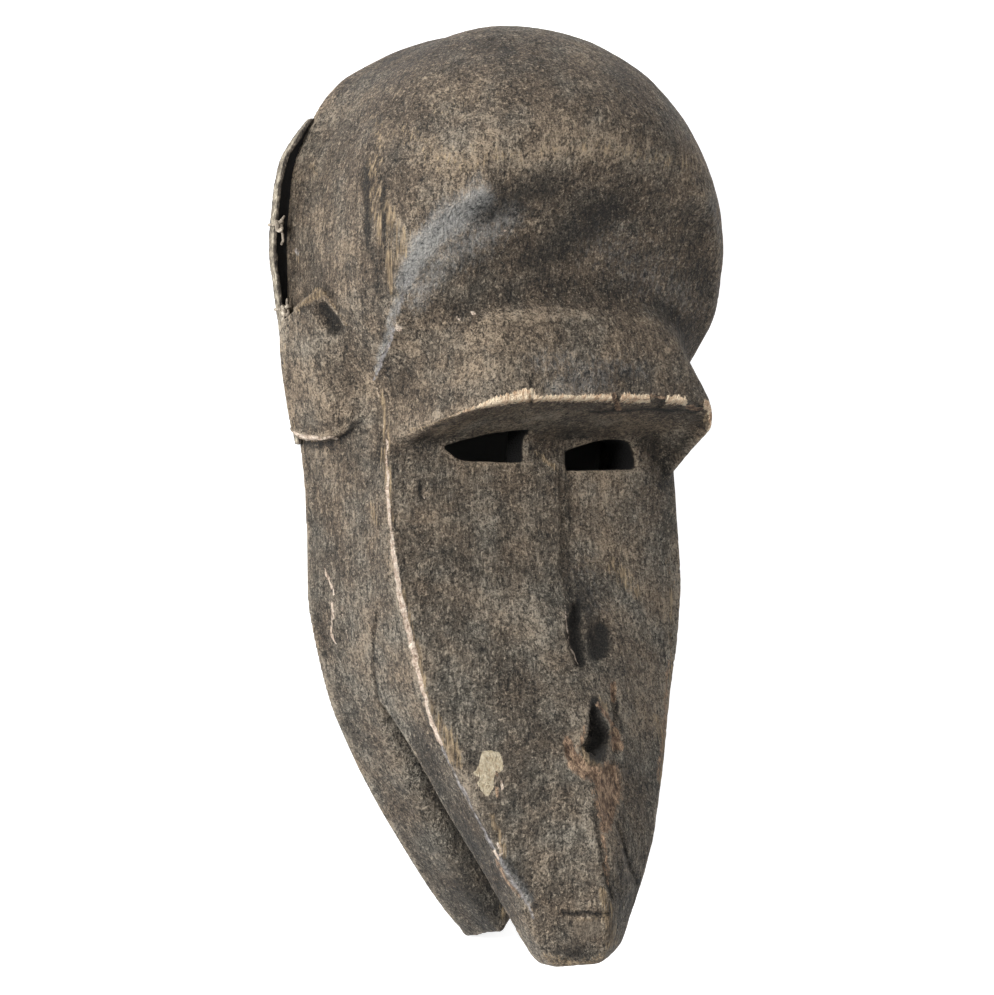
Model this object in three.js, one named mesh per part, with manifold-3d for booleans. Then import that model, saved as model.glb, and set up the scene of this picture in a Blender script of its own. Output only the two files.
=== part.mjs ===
// A carved wooden hyena mask with a strip of hide along one side of its back rim.
// It lies on that rim with the face up. Millimetres: +Y runs to the crown, -Y to the snout,
// +Z out of the face, and the rim is at z = 0.
import * as THREE from 'three';
import { mergeVertices } from 'three/addons/utils/BufferGeometryUtils.js';
import Module from 'manifold-3d';

const wasm = await Module();
wasm.setup();

// Driving dimensions
const CROWN_Y = 221;
const SNOUT_Y = -215;
const JAW_TIP_Y = -207;
const HEAD_HALF_WIDTH = 97;      // half the width of the dome, at its widest
const DOME_Y = 112;              // where it is widest
const DOME_Z = 50;               // height at which the upright side walls turn into the dome
const TEMPLE_Y = 102;            // above it the arris is a crease in the dome
const CREASE_TOP_Y = 166.5;      // where the crease crosses the forehead
const BROW_EDGE_Y = 45.4;        // front edge of the brow, in the middle
const BROW_ROOT_Y = 94;          // where the brow grows out of the forehead
const BROW_UNDERSIDE = 2.9;      // slope of the underside of the brow
const BROW_END_UNDERSIDE = 7;    // and at its right end, where it turns down
const RIGHT_BROW_REACH = 5;      // how much fuller the brow is on the right
const BRIDGE_HALF_WIDTH = 11.5;  // wood between the two eye holes
const MOUTH_APEX = { y: -93, z: 39 };
const HIDE_THICKNESS = 2.8;
const TOUCH_GAP = 0.3;           // clearance between pieces that touch

const { abs, min, max, sqrt, sin, cos, atan2, hypot, sign, PI } = Math;
const mix = (a, b, t) => a + (b - a) * t;
const clamp = (v, low = 0, high = 1) => min(high, max(low, v));

/** 0 below `from`, 1 above `to`, and an even curve between them. */
function ramp(v, from, to) {
  const t = clamp((v - from) / (to - from));
  return t * t * (3 - 2 * t);
}

/** The larger of two heights, with the corner between them filled over a width of `round`. */
function softMax(a, b, round) {
  const t = max(round - abs(a - b), 0) / round;
  return max(a, b) + (t * t * round) / 4;
}

/** A smooth curve through [place, value] stations, that never overshoots them. */
function profile(...stations) {
  const points = [...stations].sort((a, b) => a[0] - b[0]);
  const last = points.length - 1;
  const slopes = points.slice(0, last).map(([p, v], i) => (points[i + 1][1] - v) / (points[i + 1][0] - p));
  const tangents = points.map((_, i) => {
    if (i === 0) return slopes[0];
    if (i === last) return slopes[last - 1];
    const [before, after] = [slopes[i - 1], slopes[i]];
    return before * after <= 0 ? 0 : (2 * before * after) / (before + after);
  });
  return (place) => {
    if (place <= points[0][0]) return points[0][1];
    if (place >= points[last][0]) return points[last][1];
    const i = points.findIndex((p) => p[0] > place) - 1;
    const width = points[i + 1][0] - points[i][0];
    const t = (place - points[i][0]) / width;
    const bend = t * (1 - t) * width;
    return (
      mix(points[i][1], points[i + 1][1], t * t * (3 - 2 * t))
      + bend * ((1 - t) * tangents[i] - t * tangents[i + 1])
    );
  };
}

// The back rim, seen from the front: half an oval round the dome, then the long narrowing snout
const rimBelowDome = profile(
  [DOME_Y, HEAD_HALF_WIDTH], [73, 96.3], [24, 89.5], [0, 87], [-30, 85.2], [-72, 80.6], [-96, 74],
  [-119, 63.5], [-143, 50], [-166, 34.5], [-190, 17.5], [-202, 7.5], [JAW_TIP_Y, 3],
);
function domeHalfWidth(y) {
  const up = (y - DOME_Y) / (CROWN_Y - DOME_Y);
  return y > DOME_Y ? HEAD_HALF_WIDTH * sqrt(max(1 - up * up, 0)) : rimBelowDome(y);
}
// Behind the temples the wall flares out to the rim
const rimFlare = profile(
  [DOME_Y, 0], [127, 0.7], [139, 1.7], [157, 4.8], [173, 5.6], [187, 4.6], [197, 4.2], [203, 2.4],
  [210, 0.8], [CROWN_Y, 0],
);
const rimHalfWidth = (y) => domeHalfWidth(y) + rimFlare(y);

/** The dome: every cross-section of it is round above DOME_Z and nearly upright below. */
function domeX(y, z) {
  const round = sqrt(max(domeHalfWidth(y) ** 2 - max(z - DOME_Z, 0) ** 2, 0));
  return round + rimFlare(y) * max(1 - z / DOME_Z, 0) ** 2;
}
function domeZ(x, y) {
  return DOME_Z + sqrt(max(domeHalfWidth(y) ** 2 - x ** 2, 0));
}

// The arris: the line along the temple and the snout where the side meets the face
const arrisX = profile(
  [TEMPLE_Y, 86], [87, 86], [70, 85], [57, 82.5], [39.6, 80], [17, 78.3], [-2, 78.7], [-30, 78.2],
  [-58, 74.7], [-96, 64.8], [-137, 50.8], [-164, 40.2], [-192, 28], [-208, 18.5], [SNOUT_Y, 10],
);
const arrisZ = profile(
  [TEMPLE_Y, 91.5], [87, 86], [70, 73.5], [57, 64], [39.6, 59], [17, 62.8], [-2, 65], [-30, 69.5],
  [-58, 74], [-96, 81.4], [-137, 95.2], [-164, 103.4], [-192, 105.7], [-208, 107], [SNOUT_Y, 104],
);
// Over the forehead it is a crease in the dome, that turns in to run across the middle
const creaseX = profile(
  [TEMPLE_Y, 87], [115, 83.5], [126, 79.5], [132, 73.5], [138, 66], [145, 59.5], [153, 54], [159, 46.5],
  [163, 36], [CREASE_TOP_Y, 20], [175, 21], [195, 18], [CROWN_Y, 3],
);

/** Half the width of the carving at station y and height z, below the arris. */
function sideX(y, z) {
  const bulge = mix(1, 2.8, ramp(y, -40, 90));
  const leaning = mix(rimHalfWidth(y), arrisX(y), clamp(z / arrisZ(y)) ** bulge);
  return mix(leaning, domeX(y, z), ramp(y, 66, TEMPLE_Y));
}

/** The upper end of the side at station y, on the arris or the crease. */
function arris(y) {
  return y < TEMPLE_Y
    ? { x: sideX(y, arrisZ(y)), z: arrisZ(y) }
    : { x: creaseX(y), z: domeZ(creaseX(y), y) };
}

/** A point on the side at station y, from the rim (t = 0) up to the arris (t = 1). */
function sidePoint(y, t) {
  const end = arris(y);
  const upright = 0.3;             // share of the way that is the upright wall under the dome
  const angle = (atan2(end.z - DOME_Z, end.x) * max(t - upright, 0)) / (1 - upright);
  const onDome = DOME_Z * min(t / upright, 1) + hypot(end.z - DOME_Z, end.x) * sin(angle);
  const z = mix(end.z * t, onDome, ramp(y, 66, TEMPLE_Y));
  return { x: t === 1 ? end.x : sideX(y, z), z };
}

// The face between the two arrises, without the brow: forehead, eye plane and snout
const faceMiddle = profile(
  [CREASE_TOP_Y, 134], [150, 124.5], [130, 116.5], [110, 111], [93, 108.5], [70, 100], [50, 87],
  [31, 77.5], [17, 74.5], [-2, 75.5], [-30, 79.5], [-67, 92], [-105, 109.5], [-139, 120],
  [-173, 127.5], [-195, 130.5], [-207, 128], [SNOUT_Y, 121],
);
const faceRoundness = profile(
  [CREASE_TOP_Y, 2], [87, 2], [50, 3], [17, 5], [-2, 4.4], [-30, 2.9], [-67, 1.6], [-105, 1.2],
  [-139, 1.1], [SNOUT_Y, 1.1],
);
function plainFace(x, y) {
  const side = arris(y);
  return mix(faceMiddle(y), side.z, clamp(abs(x) / side.x) ** faceRoundness(y));
}

// The brow: a cushion that stands out over the eyes like the peak of a cap
const leftBrowEdge = profile(
  [0, BROW_EDGE_Y], [30, 45], [50, 43], [64, 39], [71, 33], [78, 25.5], [100, 19],
);
const rightBrowEdge = profile(
  [0, BROW_EDGE_Y], [30, 45], [50, 43.6], [60, 41.5], [67, 37.5], [70.5, 32.5], [72.5, 26.5],
  [75.5, 20], [79, 14.5],
);
const browEdge = (x) => (x > 0 ? rightBrowEdge(x) : leftBrowEdge(-x));
const browTop = profile(
  [20, 124.2], [BROW_EDGE_Y, 124], [62, 122.5], [79, 117.5], [88, 112.5], [BROW_ROOT_Y, 107.5], [120, 84],
);
const browShoulder = profile(
  [30, 71], [40, 66], [50, 61.5], [60, 57], [70, 52], [79, 46], [87, 37], [BROW_ROOT_Y, 26],
);
const browFlankBend = profile([40, 1.3], [60, 1.5], [75, 1.8], [87, 2.2]);
function browUpper(x, y) {
  const shoulder = browShoulder(y);
  const side = arris(y);
  const beyond = (d) => (d + hypot(d, 6)) / 2;
  const down = clamp(beyond(abs(x) - shoulder) / beyond(side.x - shoulder));
  const top = browTop(y) - 3 * clamp(abs(x) / shoulder) ** 2;
  return side.z + (top - side.z) * (1 - down) ** browFlankBend(y);
}
function brow(x, y) {
  const reach = RIGHT_BROW_REACH * ramp(x, 30, 64) * (1 - ramp(y, 58, 84));
  const edge = browEdge(x);
  const upper = browUpper(abs(x) - reach, max(y, edge));
  const underside = mix(BROW_UNDERSIDE, BROW_END_UNDERSIDE, ramp(x, 60, 75));
  return y > edge ? upper : upper - underside * (edge - y);
}

/** The low ridge from between the eyes down the nose, with a soft left and a steep right flank. */
function noseRidge(x, y) {
  const height = 4.5 * ramp(y, -88, -55) * (1 - ramp(y, 12, 24));
  const flank = mix(0, 5.5, ramp(y, -65, 15));
  return height * ramp(x, flank - 28, flank - 12) * (1 - ramp(x, flank, flank + 6));
}

function faceZ(x, y) {
  if (y >= CREASE_TOP_Y) return domeZ(x, y);
  const bare = plainFace(x, y);
  const peak = brow(x, y);
  const inside = 1 - clamp(abs(x) / arris(y).x) ** (x > 0 ? 26 : 16);
  return mix(bare, softMax(bare, peak, 7), inside) + noseRidge(x, y);
}

/** Turns closed rings of points, in order along a piece, into one closed skin with flat ends. */
function skin(rings) {
  const size = rings[0].length;
  const positions = rings.flat(2);
  const index = [];
  const apart = ([x, y, z], [u, v, w]) => hypot(x - u, y - v, z - w);
  for (let r = 0; r + 1 < rings.length; r += 1) {
    const [ring, other] = [rings[r], rings[r + 1]];
    for (let i = 0; i < size; i += 1) {
      const next = (i + 1) % size;
      const [a, b] = [r * size + i, r * size + next];
      if (apart(ring[i], other[next]) < apart(ring[next], other[i])) {
        index.push(a, b, b + size, a, b + size, a + size);
      } else {
        index.push(a, b, a + size, b, b + size, a + size);
      }
    }
  }
  const lastRing = (rings.length - 1) * size;
  for (const [start, flip] of [[0, true], [lastRing, false]]) {
    const ring = start === 0 ? rings[0] : rings.at(-1);
    const outline = ring.map(([x, , z]) => new THREE.Vector2(x, z));
    for (const [i, j, k] of THREE.ShapeUtils.triangulateShape(outline, [])) {
      index.push(...(flip ? [start + i, start + k, start + j] : [start + i, start + j, start + k]));
    }
  }
  const geometry = new THREE.BufferGeometry();
  geometry.setAttribute('position', new THREE.Float32BufferAttribute(positions, 3));
  geometry.setIndex(index);
  return geometry;
}

/** A closed geometry as a solid that can be joined and cut. */
function solid(geometry) {
  geometry.deleteAttribute('normal');
  geometry.deleteAttribute('uv');
  const merged = mergeVertices(geometry, 1e-4);
  const { array } = merged.index;
  const faces = [];
  for (let i = 0; i < array.length; i += 3) {
    const [a, b, c] = array.slice(i, i + 3);
    if (a !== b && b !== c && c !== a) faces.push(a, b, c);
  }
  return new wasm.Manifold(new wasm.Mesh({
    numProp: 3,
    vertProperties: new Float32Array(merged.attributes.position.array),
    triVerts: new Uint32Array(faces),
  }));
}

function geometryOf(body) {
  const mesh = body.getMesh();
  const geometry = new THREE.BufferGeometry();
  geometry.setAttribute('position', new THREE.BufferAttribute(new Float32Array(mesh.vertProperties), 3));
  geometry.setIndex(new THREE.BufferAttribute(new Uint32Array(mesh.triVerts), 1));
  return geometry;
}

/** A prism with its outline in the plane of Y and Z, reaching from x = left to x = right. */
function prismAlongX(outline, left, right) {
  const shape = new THREE.Shape(outline.map(([y, z]) => new THREE.Vector2(y, z)));
  const geometry = new THREE.ExtrudeGeometry(shape, { depth: right - left, bevelEnabled: false });
  const turn = new THREE.Matrix4().makeBasis(
    new THREE.Vector3(0, 1, 0), new THREE.Vector3(0, 0, 1), new THREE.Vector3(1, 0, 0),
  );
  return geometry.applyMatrix4(turn).translate(left, 0, 0);
}

/** Places from `from` to `to`, in `count` equal steps, without the last one. */
const steps = (from, to, count) => Array.from({ length: count }, (_, i) => mix(from, to, i / count));

// Stations along the mask, closer where the surface turns
const crownStations = [86, 79, 71, 63, 55, 47, 40, 34].map(
  (angle) => DOME_Y + (CROWN_Y - DOME_Y) * sin((angle * PI) / 180),
);
const stations = [
  ...crownStations, CREASE_TOP_Y, 163, ...steps(159, TEMPLE_Y, 9), ...steps(TEMPLE_Y, 70, 6),
  ...steps(70, BROW_EDGE_Y, 5), ...steps(BROW_EDGE_Y, 31, 5), ...steps(31, 17, 2), ...steps(17, -30, 4),
  ...steps(-30, -93, 5), ...steps(-93, -192, 8), -192, -200, -206, -211, SNOUT_Y,
];
const upSide = [0, 0.15, 0.3, 0.38, 0.46, 0.54, 0.62, 0.7, 0.78, 0.86, 0.93, 1];

/** Places across half of the face, as shares of its width. They crowd where the brow's shoulder is. */
const shoulderShare = profile(
  [CROWN_Y, 0.5], [125, 0.42], [BROW_ROOT_Y, 0.34], [87, 0.44], [79, 0.53], [70, 0.61], [60, 0.69],
  [50, 0.75], [40, 0.82], [28, 0.88], [0, 0.8], [-60, 0.7], [SNOUT_Y, 0.65],
);
function acrossFace(y) {
  const shoulder = shoulderShare(y);
  const inner = [0, 0.1, 0.2, 0.32, 0.45, 0.58, 0.7, 0.81, 0.9, 0.96].map((t) => t * shoulder);
  const outer = [0.04, 0.16, 0.3, 0.45, 0.6, 0.75, 0.88].map((t) => mix(shoulder, 1, t));
  return [...inner, ...outer].reverse();
}

/** Bends the stations near the brow, so that one of them runs along its edge. */
function alongBrow(station, x) {
  const above = 93;
  const below = 8;
  if (station >= above || station <= below) return station;
  const end = station > BROW_EDGE_Y ? above : below;
  return end + ((station - end) * (browEdge(x) - end)) / (BROW_EDGE_Y - end);
}

/** One cross-section of the carving: up the right side, over the face and down the left side. */
function section(station) {
  const halfOf = (side) => {
    const sideY = alongBrow(station, side * 78);
    const width = arris(sideY).x;
    const wall = upSide.map((t) => {
      const { x, z } = sidePoint(sideY, t);
      return [side * x, mix(station, sideY, t), z];
    });
    const face = acrossFace(station).map((share) => {
      const x = side * share * width;
      const y = alongBrow(station, x);
      return [x, y, faceZ(x, y)];
    });
    return [...wall, ...face];
  };
  return [...halfOf(1), ...halfOf(-1).slice(0, -1).reverse()];
}

/** The hollow for the wearer's face: an arch that follows the outside, a wall's thickness in. */
const hollowHeight = profile(
  [209, 60], [204, 78], [195, 96], [180, 110], [166, 114], [150, 107], [130, 100], [110, 95], [87, 90],
  [60, 78], [40, 64], [31, 60], [17, 58], [-5, 58], [-30, 60], [-55, 58], [-68, 48], [-76, 30],
);
const hollowHalfWidth = profile(
  [209, 14], [204, 30], [195, 47], [180, 62.5], [160, 74.5], [DOME_Y, 83.5], [73, 82.5], [24, 75.5],
  [0, 73], [-30, 69.5], [-55, 60], [-68, 46], [-76, 26],
);
function hollow() {
  const archPower = 2 / 2.5;
  const places = [209, 204, 195, 180, 166, 150, 130, 110, 87, 60, 40, 31, 17, -5, -30, -55, -68, -76];
  const floor = -5;                // cuts cleanly through the plane of the rim
  const rings = places.map((y) => {
    const arch = steps(0, PI, 18).concat(PI).map((angle) => [
      hollowHalfWidth(y) * sign(cos(angle)) * abs(cos(angle)) ** archPower,
      y,
      hollowHeight(y) * abs(sin(angle)) ** archPower,
    ]);
    return [[arch[0][0], y, floor], ...arch, [arch.at(-1)[0], y, floor]];
  });
  return solid(skin(rings));
}

/** The lower jaw: flat inside, with rounded shoulders, shorter than the snout above it. */
function lowerJaw() {
  const overlap = -84;             // where it begins, inside the solid wood behind the mouth
  const lean = 0.12;
  const places = [
    overlap, MOUTH_APEX.y, -104, -116, -128, -141, -154, -167, -180, -190, -198, -203.5, JAW_TIP_Y,
  ];
  const rings = places.map((y) => {
    const inset = y > MOUTH_APEX.y ? 3 : 0;
    const top = mix(MOUTH_APEX.z, 36, ramp(-y, 93, 200)) - inset / 3;
    const x = (z) => max(rimHalfWidth(y) - inset - lean * z, 1.2);
    const round = min(mix(1, 9, ramp(-y, 93, 125)), x(top) * 0.6);
    const bend = [0, 0.25, 0.5, 0.75, 1].map((t) => (t * PI) / 2);
    const shoulder = bend.map((a) => [x(top - round) - round * (1 - cos(a)), y, top - round * (1 - sin(a))]);
    const side = [[x(0), y, 0], [x(12), y, 12], ...shoulder];
    return [...side, ...side.map(([px, py, pz]) => [-px, py, pz]).reverse()];
  });
  return solid(skin(rings));
}

/** Everything in front of the mouth's apex that is below the snout. */
function mouthCut() {
  const roof = profile(
    [MOUTH_APEX.y, MOUTH_APEX.z], [-100, 46], [-120, 57], [-152, 69], [-180, 80.5], [-200, 86.5], [-226, 91],
  );
  const upper = [MOUTH_APEX.y, -100, -110, -120, -136, -152, -166, -180, -200, -226].map((y) => [y, roof(y)]);
  const outline = [...upper, [-226, -5], [MOUTH_APEX.y, -5]];
  return solid(prismAlongX(outline, -110, 110));
}

/** An eye hole, pointed or blunt at its outer end and square at the bridge. */
function eyeHole(outline) {
  const shape = new THREE.Shape();
  shape.moveTo(...outline.innerLow);
  shape.lineTo(...outline.outerLow);
  shape.quadraticCurveTo(...outline.outerBend, ...outline.outerHigh);
  shape.quadraticCurveTo(...outline.topBend, ...outline.innerHigh);
  const geometry = new THREE.ExtrudeGeometry(shape, { depth: 90, bevelEnabled: false, curveSegments: 6 });
  return solid(geometry.translate(0, 0, 35));
}
const leftEye = {
  innerLow: [-BRIDGE_HALF_WIDTH, 16.3],
  outerLow: [-42, 16.8],
  outerBend: [-48, 18.5],
  outerHigh: [-53, 23.5],
  topBend: [-34, 30],
  innerHigh: [-BRIDGE_HALF_WIDTH, 31.5],
};
const rightEye = {
  innerLow: [BRIDGE_HALF_WIDTH, 12.4],
  outerLow: [50, 13.2],
  outerBend: [52.5, 18],
  outerHigh: [47, 25.5],
  topBend: [36, 30.5],
  innerHigh: [BRIDGE_HALF_WIDTH, 21.5],
};

/** The face of an ear: proud at the back, and sinking into the wall towards the front. */
function earFace(y, z) {
  const wall = sideX(y, z);
  const plane = 103.8 + rimHalfWidth(clamp(y, 30, 90)) - rimHalfWidth(70) - 0.13 * z;
  return mix(plane, wall, ramp(z, 30, 54)) - ramp(z, 48, 57);
}

/** A relief ear on one side, with a pointed tip at the top. */
function ear(side) {
  const root = 78;                 // x of its root, in the solid wood of the wall
  const outline = [
    [95.5, 38], [91, 27], [86.5, 18], [82.5, 8], [75, 6.6], [65, 6.5], [54, 6.5], [43, 6.5], [32, 6.8],
    [27.5, 12], [26.5, 22], [27, 33], [33, 46], [46, 57], [66, 57], [83, 51], [91, 45],
  ];
  const middle = [64, 27];
  const order = side > 0 ? outline.reverse() : outline;
  const ring = (size, out) => order.map(([py, pz]) => {
    const [y, z] = [mix(middle[0], py, size), mix(middle[1], pz, size)];
    return [side * (out ?? earFace(y, z)), y, z];
  });
  return solid(skin([ring(0, root), ring(1, root), ring(1), ring(0.8), ring(0.55), ring(0.3), ring(0)]));
}

function mask() {
  return solid(skin(stations.map(section)))
    .subtract(mouthCut())
    .add(lowerJaw())
    .add(ear(1))
    .add(ear(-1))
    .subtract(hollow())
    .subtract(eyeHole(leftEye))
    .subtract(eyeHole(rightEye));
}

// The strip of hide: how far it stands off the rim, and how high it is, along the left side
const STRIP_TOP_Y = 178;
const STRIP_END_Y = 25;
const STRIP_FLOOR = 0.4;
const UPPER_KNOT_Y = 126.5;
const LOWER_KNOT_Y = 87.6;
const stripOffset = profile(
  [STRIP_TOP_Y, TOUCH_GAP], [168, 2.2], [157, 4.9], [140, 6.1], [120, 6.6], [110, 6.5], [100.5, 5], [88, 3.4],
  [81, 2.4], [69, 1.2], [56, 0.6], [43, 1.2], [32, 0.7], [STRIP_END_Y, TOUCH_GAP],
);
const stripHeight = profile([STRIP_TOP_Y, 3.4], [165, 5.2], [60, 5.4], [STRIP_END_Y, 4]);

/** A place `off` millimetres outside the rim on the left, at station y. */
function outsideRim(y, off) {
  const slope = (rimHalfWidth(y + 1) - rimHalfWidth(y - 1)) / 2;
  const length = hypot(1, slope);
  return { x: -rimHalfWidth(y) - off / length, y: y - (off * slope) / length };
}

function hideStrip() {
  const rings = steps(STRIP_TOP_Y, STRIP_END_Y, 26).concat(STRIP_END_Y).map((y) => {
    const inner = outsideRim(y, stripOffset(y));
    const outer = outsideRim(y, stripOffset(y) + HIDE_THICKNESS);
    const top = STRIP_FLOOR + stripHeight(y);
    return [
      [inner.x, inner.y, STRIP_FLOOR], [inner.x, inner.y, top], [outer.x, outer.y, top],
      [outer.x, outer.y, STRIP_FLOOR],
    ];
  });
  return skin(rings);
}

/** A knotted thong on top of the strip. */
function thongKnot(y) {
  const size = { across: 5.4, along: 6.4, high: 4.2 };
  const middle = outsideRim(y, stripOffset(y) + HIDE_THICKNESS / 2 - 0.6);
  const rest = STRIP_FLOOR + stripHeight(y) + TOUCH_GAP;
  const geometry = new THREE.SphereGeometry(0.5, 14, 10);
  return geometry.scale(size.across, size.along, size.high).translate(middle.x, middle.y, rest + size.high / 2);
}

const wood = new THREE.MeshStandardMaterial({ color: 0x4a4138, roughness: 0.85, metalness: 0 });
const hide = new THREE.MeshStandardMaterial({ color: 0x8a7458, roughness: 0.9, metalness: 0 });
const thong = new THREE.MeshStandardMaterial({ color: 0xb9ad96, roughness: 0.9, metalness: 0 });

/** A named mesh of one piece. */
function mesh(name, geometry, material) {
  geometry.computeVertexNormals();
  const piece = new THREE.Mesh(geometry, material);
  piece.name = name;
  return piece;
}

const hyenaMask = new THREE.Group();
hyenaMask.add(
  mesh('mask', geometryOf(mask()), wood),
  mesh('hide_strip', geometryOf(solid(hideStrip())), hide),
  mesh('thong_knot_upper', geometryOf(solid(thongKnot(UPPER_KNOT_Y))), thong),
  mesh('thong_knot_lower', geometryOf(solid(thongKnot(LOWER_KNOT_Y))), thong),
);

// The middle of the rim's length and width is at x = 0, y = 0
const middle = new THREE.Box3().setFromObject(hyenaMask).getCenter(new THREE.Vector3());
hyenaMask.position.set(-middle.x, -middle.y, 0);

export default hyenaMask;
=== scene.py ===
"""A carved wooden hyena mask with a strip of hide, lying on its back rim under soft studio light.

The carving is worked out as a distance field from its own curves, turned into a mesh, and
finished with carved and worn detail. Lengths are in millimetres in the mask's own axes
(+Y to the crown, -Y to the snout, +Z out of the face) until a mesh is made from them.
"""
import math

import bpy
import numpy as np
import openvdb
from mathutils import Matrix, Vector


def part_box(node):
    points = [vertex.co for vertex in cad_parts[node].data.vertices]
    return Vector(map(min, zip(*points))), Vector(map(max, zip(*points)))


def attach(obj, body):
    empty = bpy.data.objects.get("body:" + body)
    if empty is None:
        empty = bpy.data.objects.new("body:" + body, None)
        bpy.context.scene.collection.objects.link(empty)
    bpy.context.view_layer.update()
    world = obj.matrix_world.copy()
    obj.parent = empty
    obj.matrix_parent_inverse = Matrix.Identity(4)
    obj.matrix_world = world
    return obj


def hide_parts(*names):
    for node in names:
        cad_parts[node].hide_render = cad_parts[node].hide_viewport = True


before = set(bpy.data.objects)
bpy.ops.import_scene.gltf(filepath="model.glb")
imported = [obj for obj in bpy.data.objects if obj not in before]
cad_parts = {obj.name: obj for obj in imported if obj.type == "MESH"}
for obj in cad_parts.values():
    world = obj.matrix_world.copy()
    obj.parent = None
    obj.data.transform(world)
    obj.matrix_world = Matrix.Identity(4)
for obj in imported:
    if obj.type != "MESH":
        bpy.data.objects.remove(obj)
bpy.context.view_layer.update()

MM = 0.001

# Driving dimensions, the same as in the CAD
CROWN_Y = 221
SNOUT_Y = -215
JAW_TIP_Y = -207
HEAD_HALF_WIDTH = 97
DOME_Y = 112
DOME_Z = 50
TEMPLE_Y = 102
CREASE_TOP_Y = 166.5
BROW_EDGE_Y = 45.4
BROW_ROOT_Y = 94
BROW_UNDERSIDE = 2.9            # slope of the underside of the brow
BROW_END_UNDERSIDE = 1.95       # and at its right end
RIGHT_BROW_REACH = 7            # how much fuller the brow is on the right
BRIDGE_HALF_WIDTH = 11.5        # wood between the two eye holes
MOUTH_APEX_Y = -93
MOUTH_APEX_Z = 39
JAW_END_Z = 36                  # height of the lower jaw at its tip
JAW_LEAN = 0.12                 # slope of its sides
HOLLOW_TOP_Y = 209
HOLLOW_END_Y = -76
HOLLOW_POWER = 2.5              # how square the hollow's arched section is; 2 is an ellipse
HIDE_THICKNESS = 2.8
SNOUT_SLANT = 0.23              # the end of the snout is cut a little aslant,
SNOUT_SLANT_X = -11             # to the right of here

# Where the mask's own axes lie in the frame
mask_low, mask_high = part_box("mask")
SHIFT = np.array([(mask_low.x + mask_high.x) / 2, mask_low.y - SNOUT_Y * MM, mask_low.z])


# small mathematics
def mix(a, b, t):
    return a + (b - a) * t


def ramp(value, start, end):
    """0 before `start`, 1 after `end`, and an even curve between them."""
    t = np.clip((value - start) / (end - start), 0, 1)
    return t * t * (3 - 2 * t)


def soft_max(a, b, width):
    """The larger of two fields, with the corner between them filled over `width`."""
    t = np.maximum(width - np.abs(a - b), 0) / width
    return np.maximum(a, b) + t * t * width / 4


def soft_min(a, b, width):
    return -soft_max(-a, -b, width)


def profile(*stations):
    """A smooth curve through (place, value) stations, that never overshoots them."""
    places, values = np.array(sorted(stations), float).T
    slopes = np.diff(values) / np.diff(places)
    product = slopes[:-1] * slopes[1:]
    total = np.where(product > 0, slopes[:-1] + slopes[1:], 1)
    inner = np.where(product > 0, 2 * product / total, 0)
    tangents = np.concatenate([slopes[:1], inner, slopes[-1:]])

    def curve(place):
        place = np.clip(place, places[0], places[-1])
        i = np.clip(np.searchsorted(places, place, side="right") - 1, 0, len(places) - 2)
        width = places[i + 1] - places[i]
        t = (place - places[i]) / width
        bend = t * (1 - t) * width
        return (
            mix(values[i], values[i + 1], t * t * (3 - 2 * t))
            + bend * ((1 - t) * tangents[i] - t * tangents[i + 1])
        )

    return curve


# Large odd numbers that scatter a place over all numbers
SCATTER_I = 374761393
SCATTER_J = 668265263
SCATTER_K = 1442695041
SCATTER = 1274126177


def lattice(i, j, k, seed):
    """A repeatable number from 0 to 1 for every whole-number place."""
    n = (i * SCATTER_I + j * SCATTER_J + k * SCATTER_K + seed * SCATTER) & 0xFFFFFFFF
    n = ((n ^ (n >> 13)) * SCATTER) & 0xFFFFFFFF
    return ((n ^ (n >> 16)) & 0xFFFFFF) / 0xFFFFFF


def noise(points, size, seed=0):
    """Smooth noise from -1 to 1. `size` is the width of a lump, one number or one for each axis."""
    place = points / size
    whole = np.floor(place).astype(np.int64)
    part = place - whole
    part = part * part * (3 - 2 * part)
    total = np.zeros(len(points))
    for corner in np.ndindex(2, 2, 2):
        weight = np.prod(np.where(corner, part, 1 - part), axis=1)
        total += weight * lattice(*(whole + corner).T, seed)
    return total * 2 - 1


def fractal(points, size, octaves, seed=0):
    size = np.asarray(size, float)
    layers = [noise(points, size / 2**n, seed + 7 * n) / 2**n for n in range(octaves)]
    return sum(layers) / sum(1 / 2**n for n in range(octaves))


# the mask's curves
# Each station is (place, value). The place is along Y, but for the two brow edges along X.
rim_below_dome = profile(
    (DOME_Y, HEAD_HALF_WIDTH), (73, 96.3), (24, 89.5), (0, 87), (-30, 85.9), (-48, 85.6),
    (-60, 83.6), (-72, 80.9), (-96, 74), (-119, 63.5), (-143, 50), (-166, 35), (-190, 18),
    (-202, 8), (JAW_TIP_Y, 3),
)
rim_flare = profile(
    (DOME_Y, 0), (127, 0.7), (139, 1.7), (157, 4.8), (173, 5.6), (187, 4.6), (197, 4.2), (203, 2.4),
    (210, 0.8), (CROWN_Y, 0),
)
arris_x = profile(
    (TEMPLE_Y, 86), (87, 86), (70, 85), (57, 82.5), (39.6, 80), (17, 78.3), (-2, 78.7), (-30, 78.2),
    (-58, 74.7), (-96, 64.8), (-137, 50.8), (-164, 40.2), (-192, 28.5), (-208, 20.5), (SNOUT_Y, 14),
)
arris_z = profile(
    (TEMPLE_Y, 91.5), (87, 86), (70, 73.5), (57, 64), (39.6, 59), (17, 62.8), (-2, 65), (-30, 69.5),
    (-58, 74), (-96, 81.4), (-137, 95.2), (-164, 103.4), (-192, 105.7), (-208, 107), (SNOUT_Y, 104),
)
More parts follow.
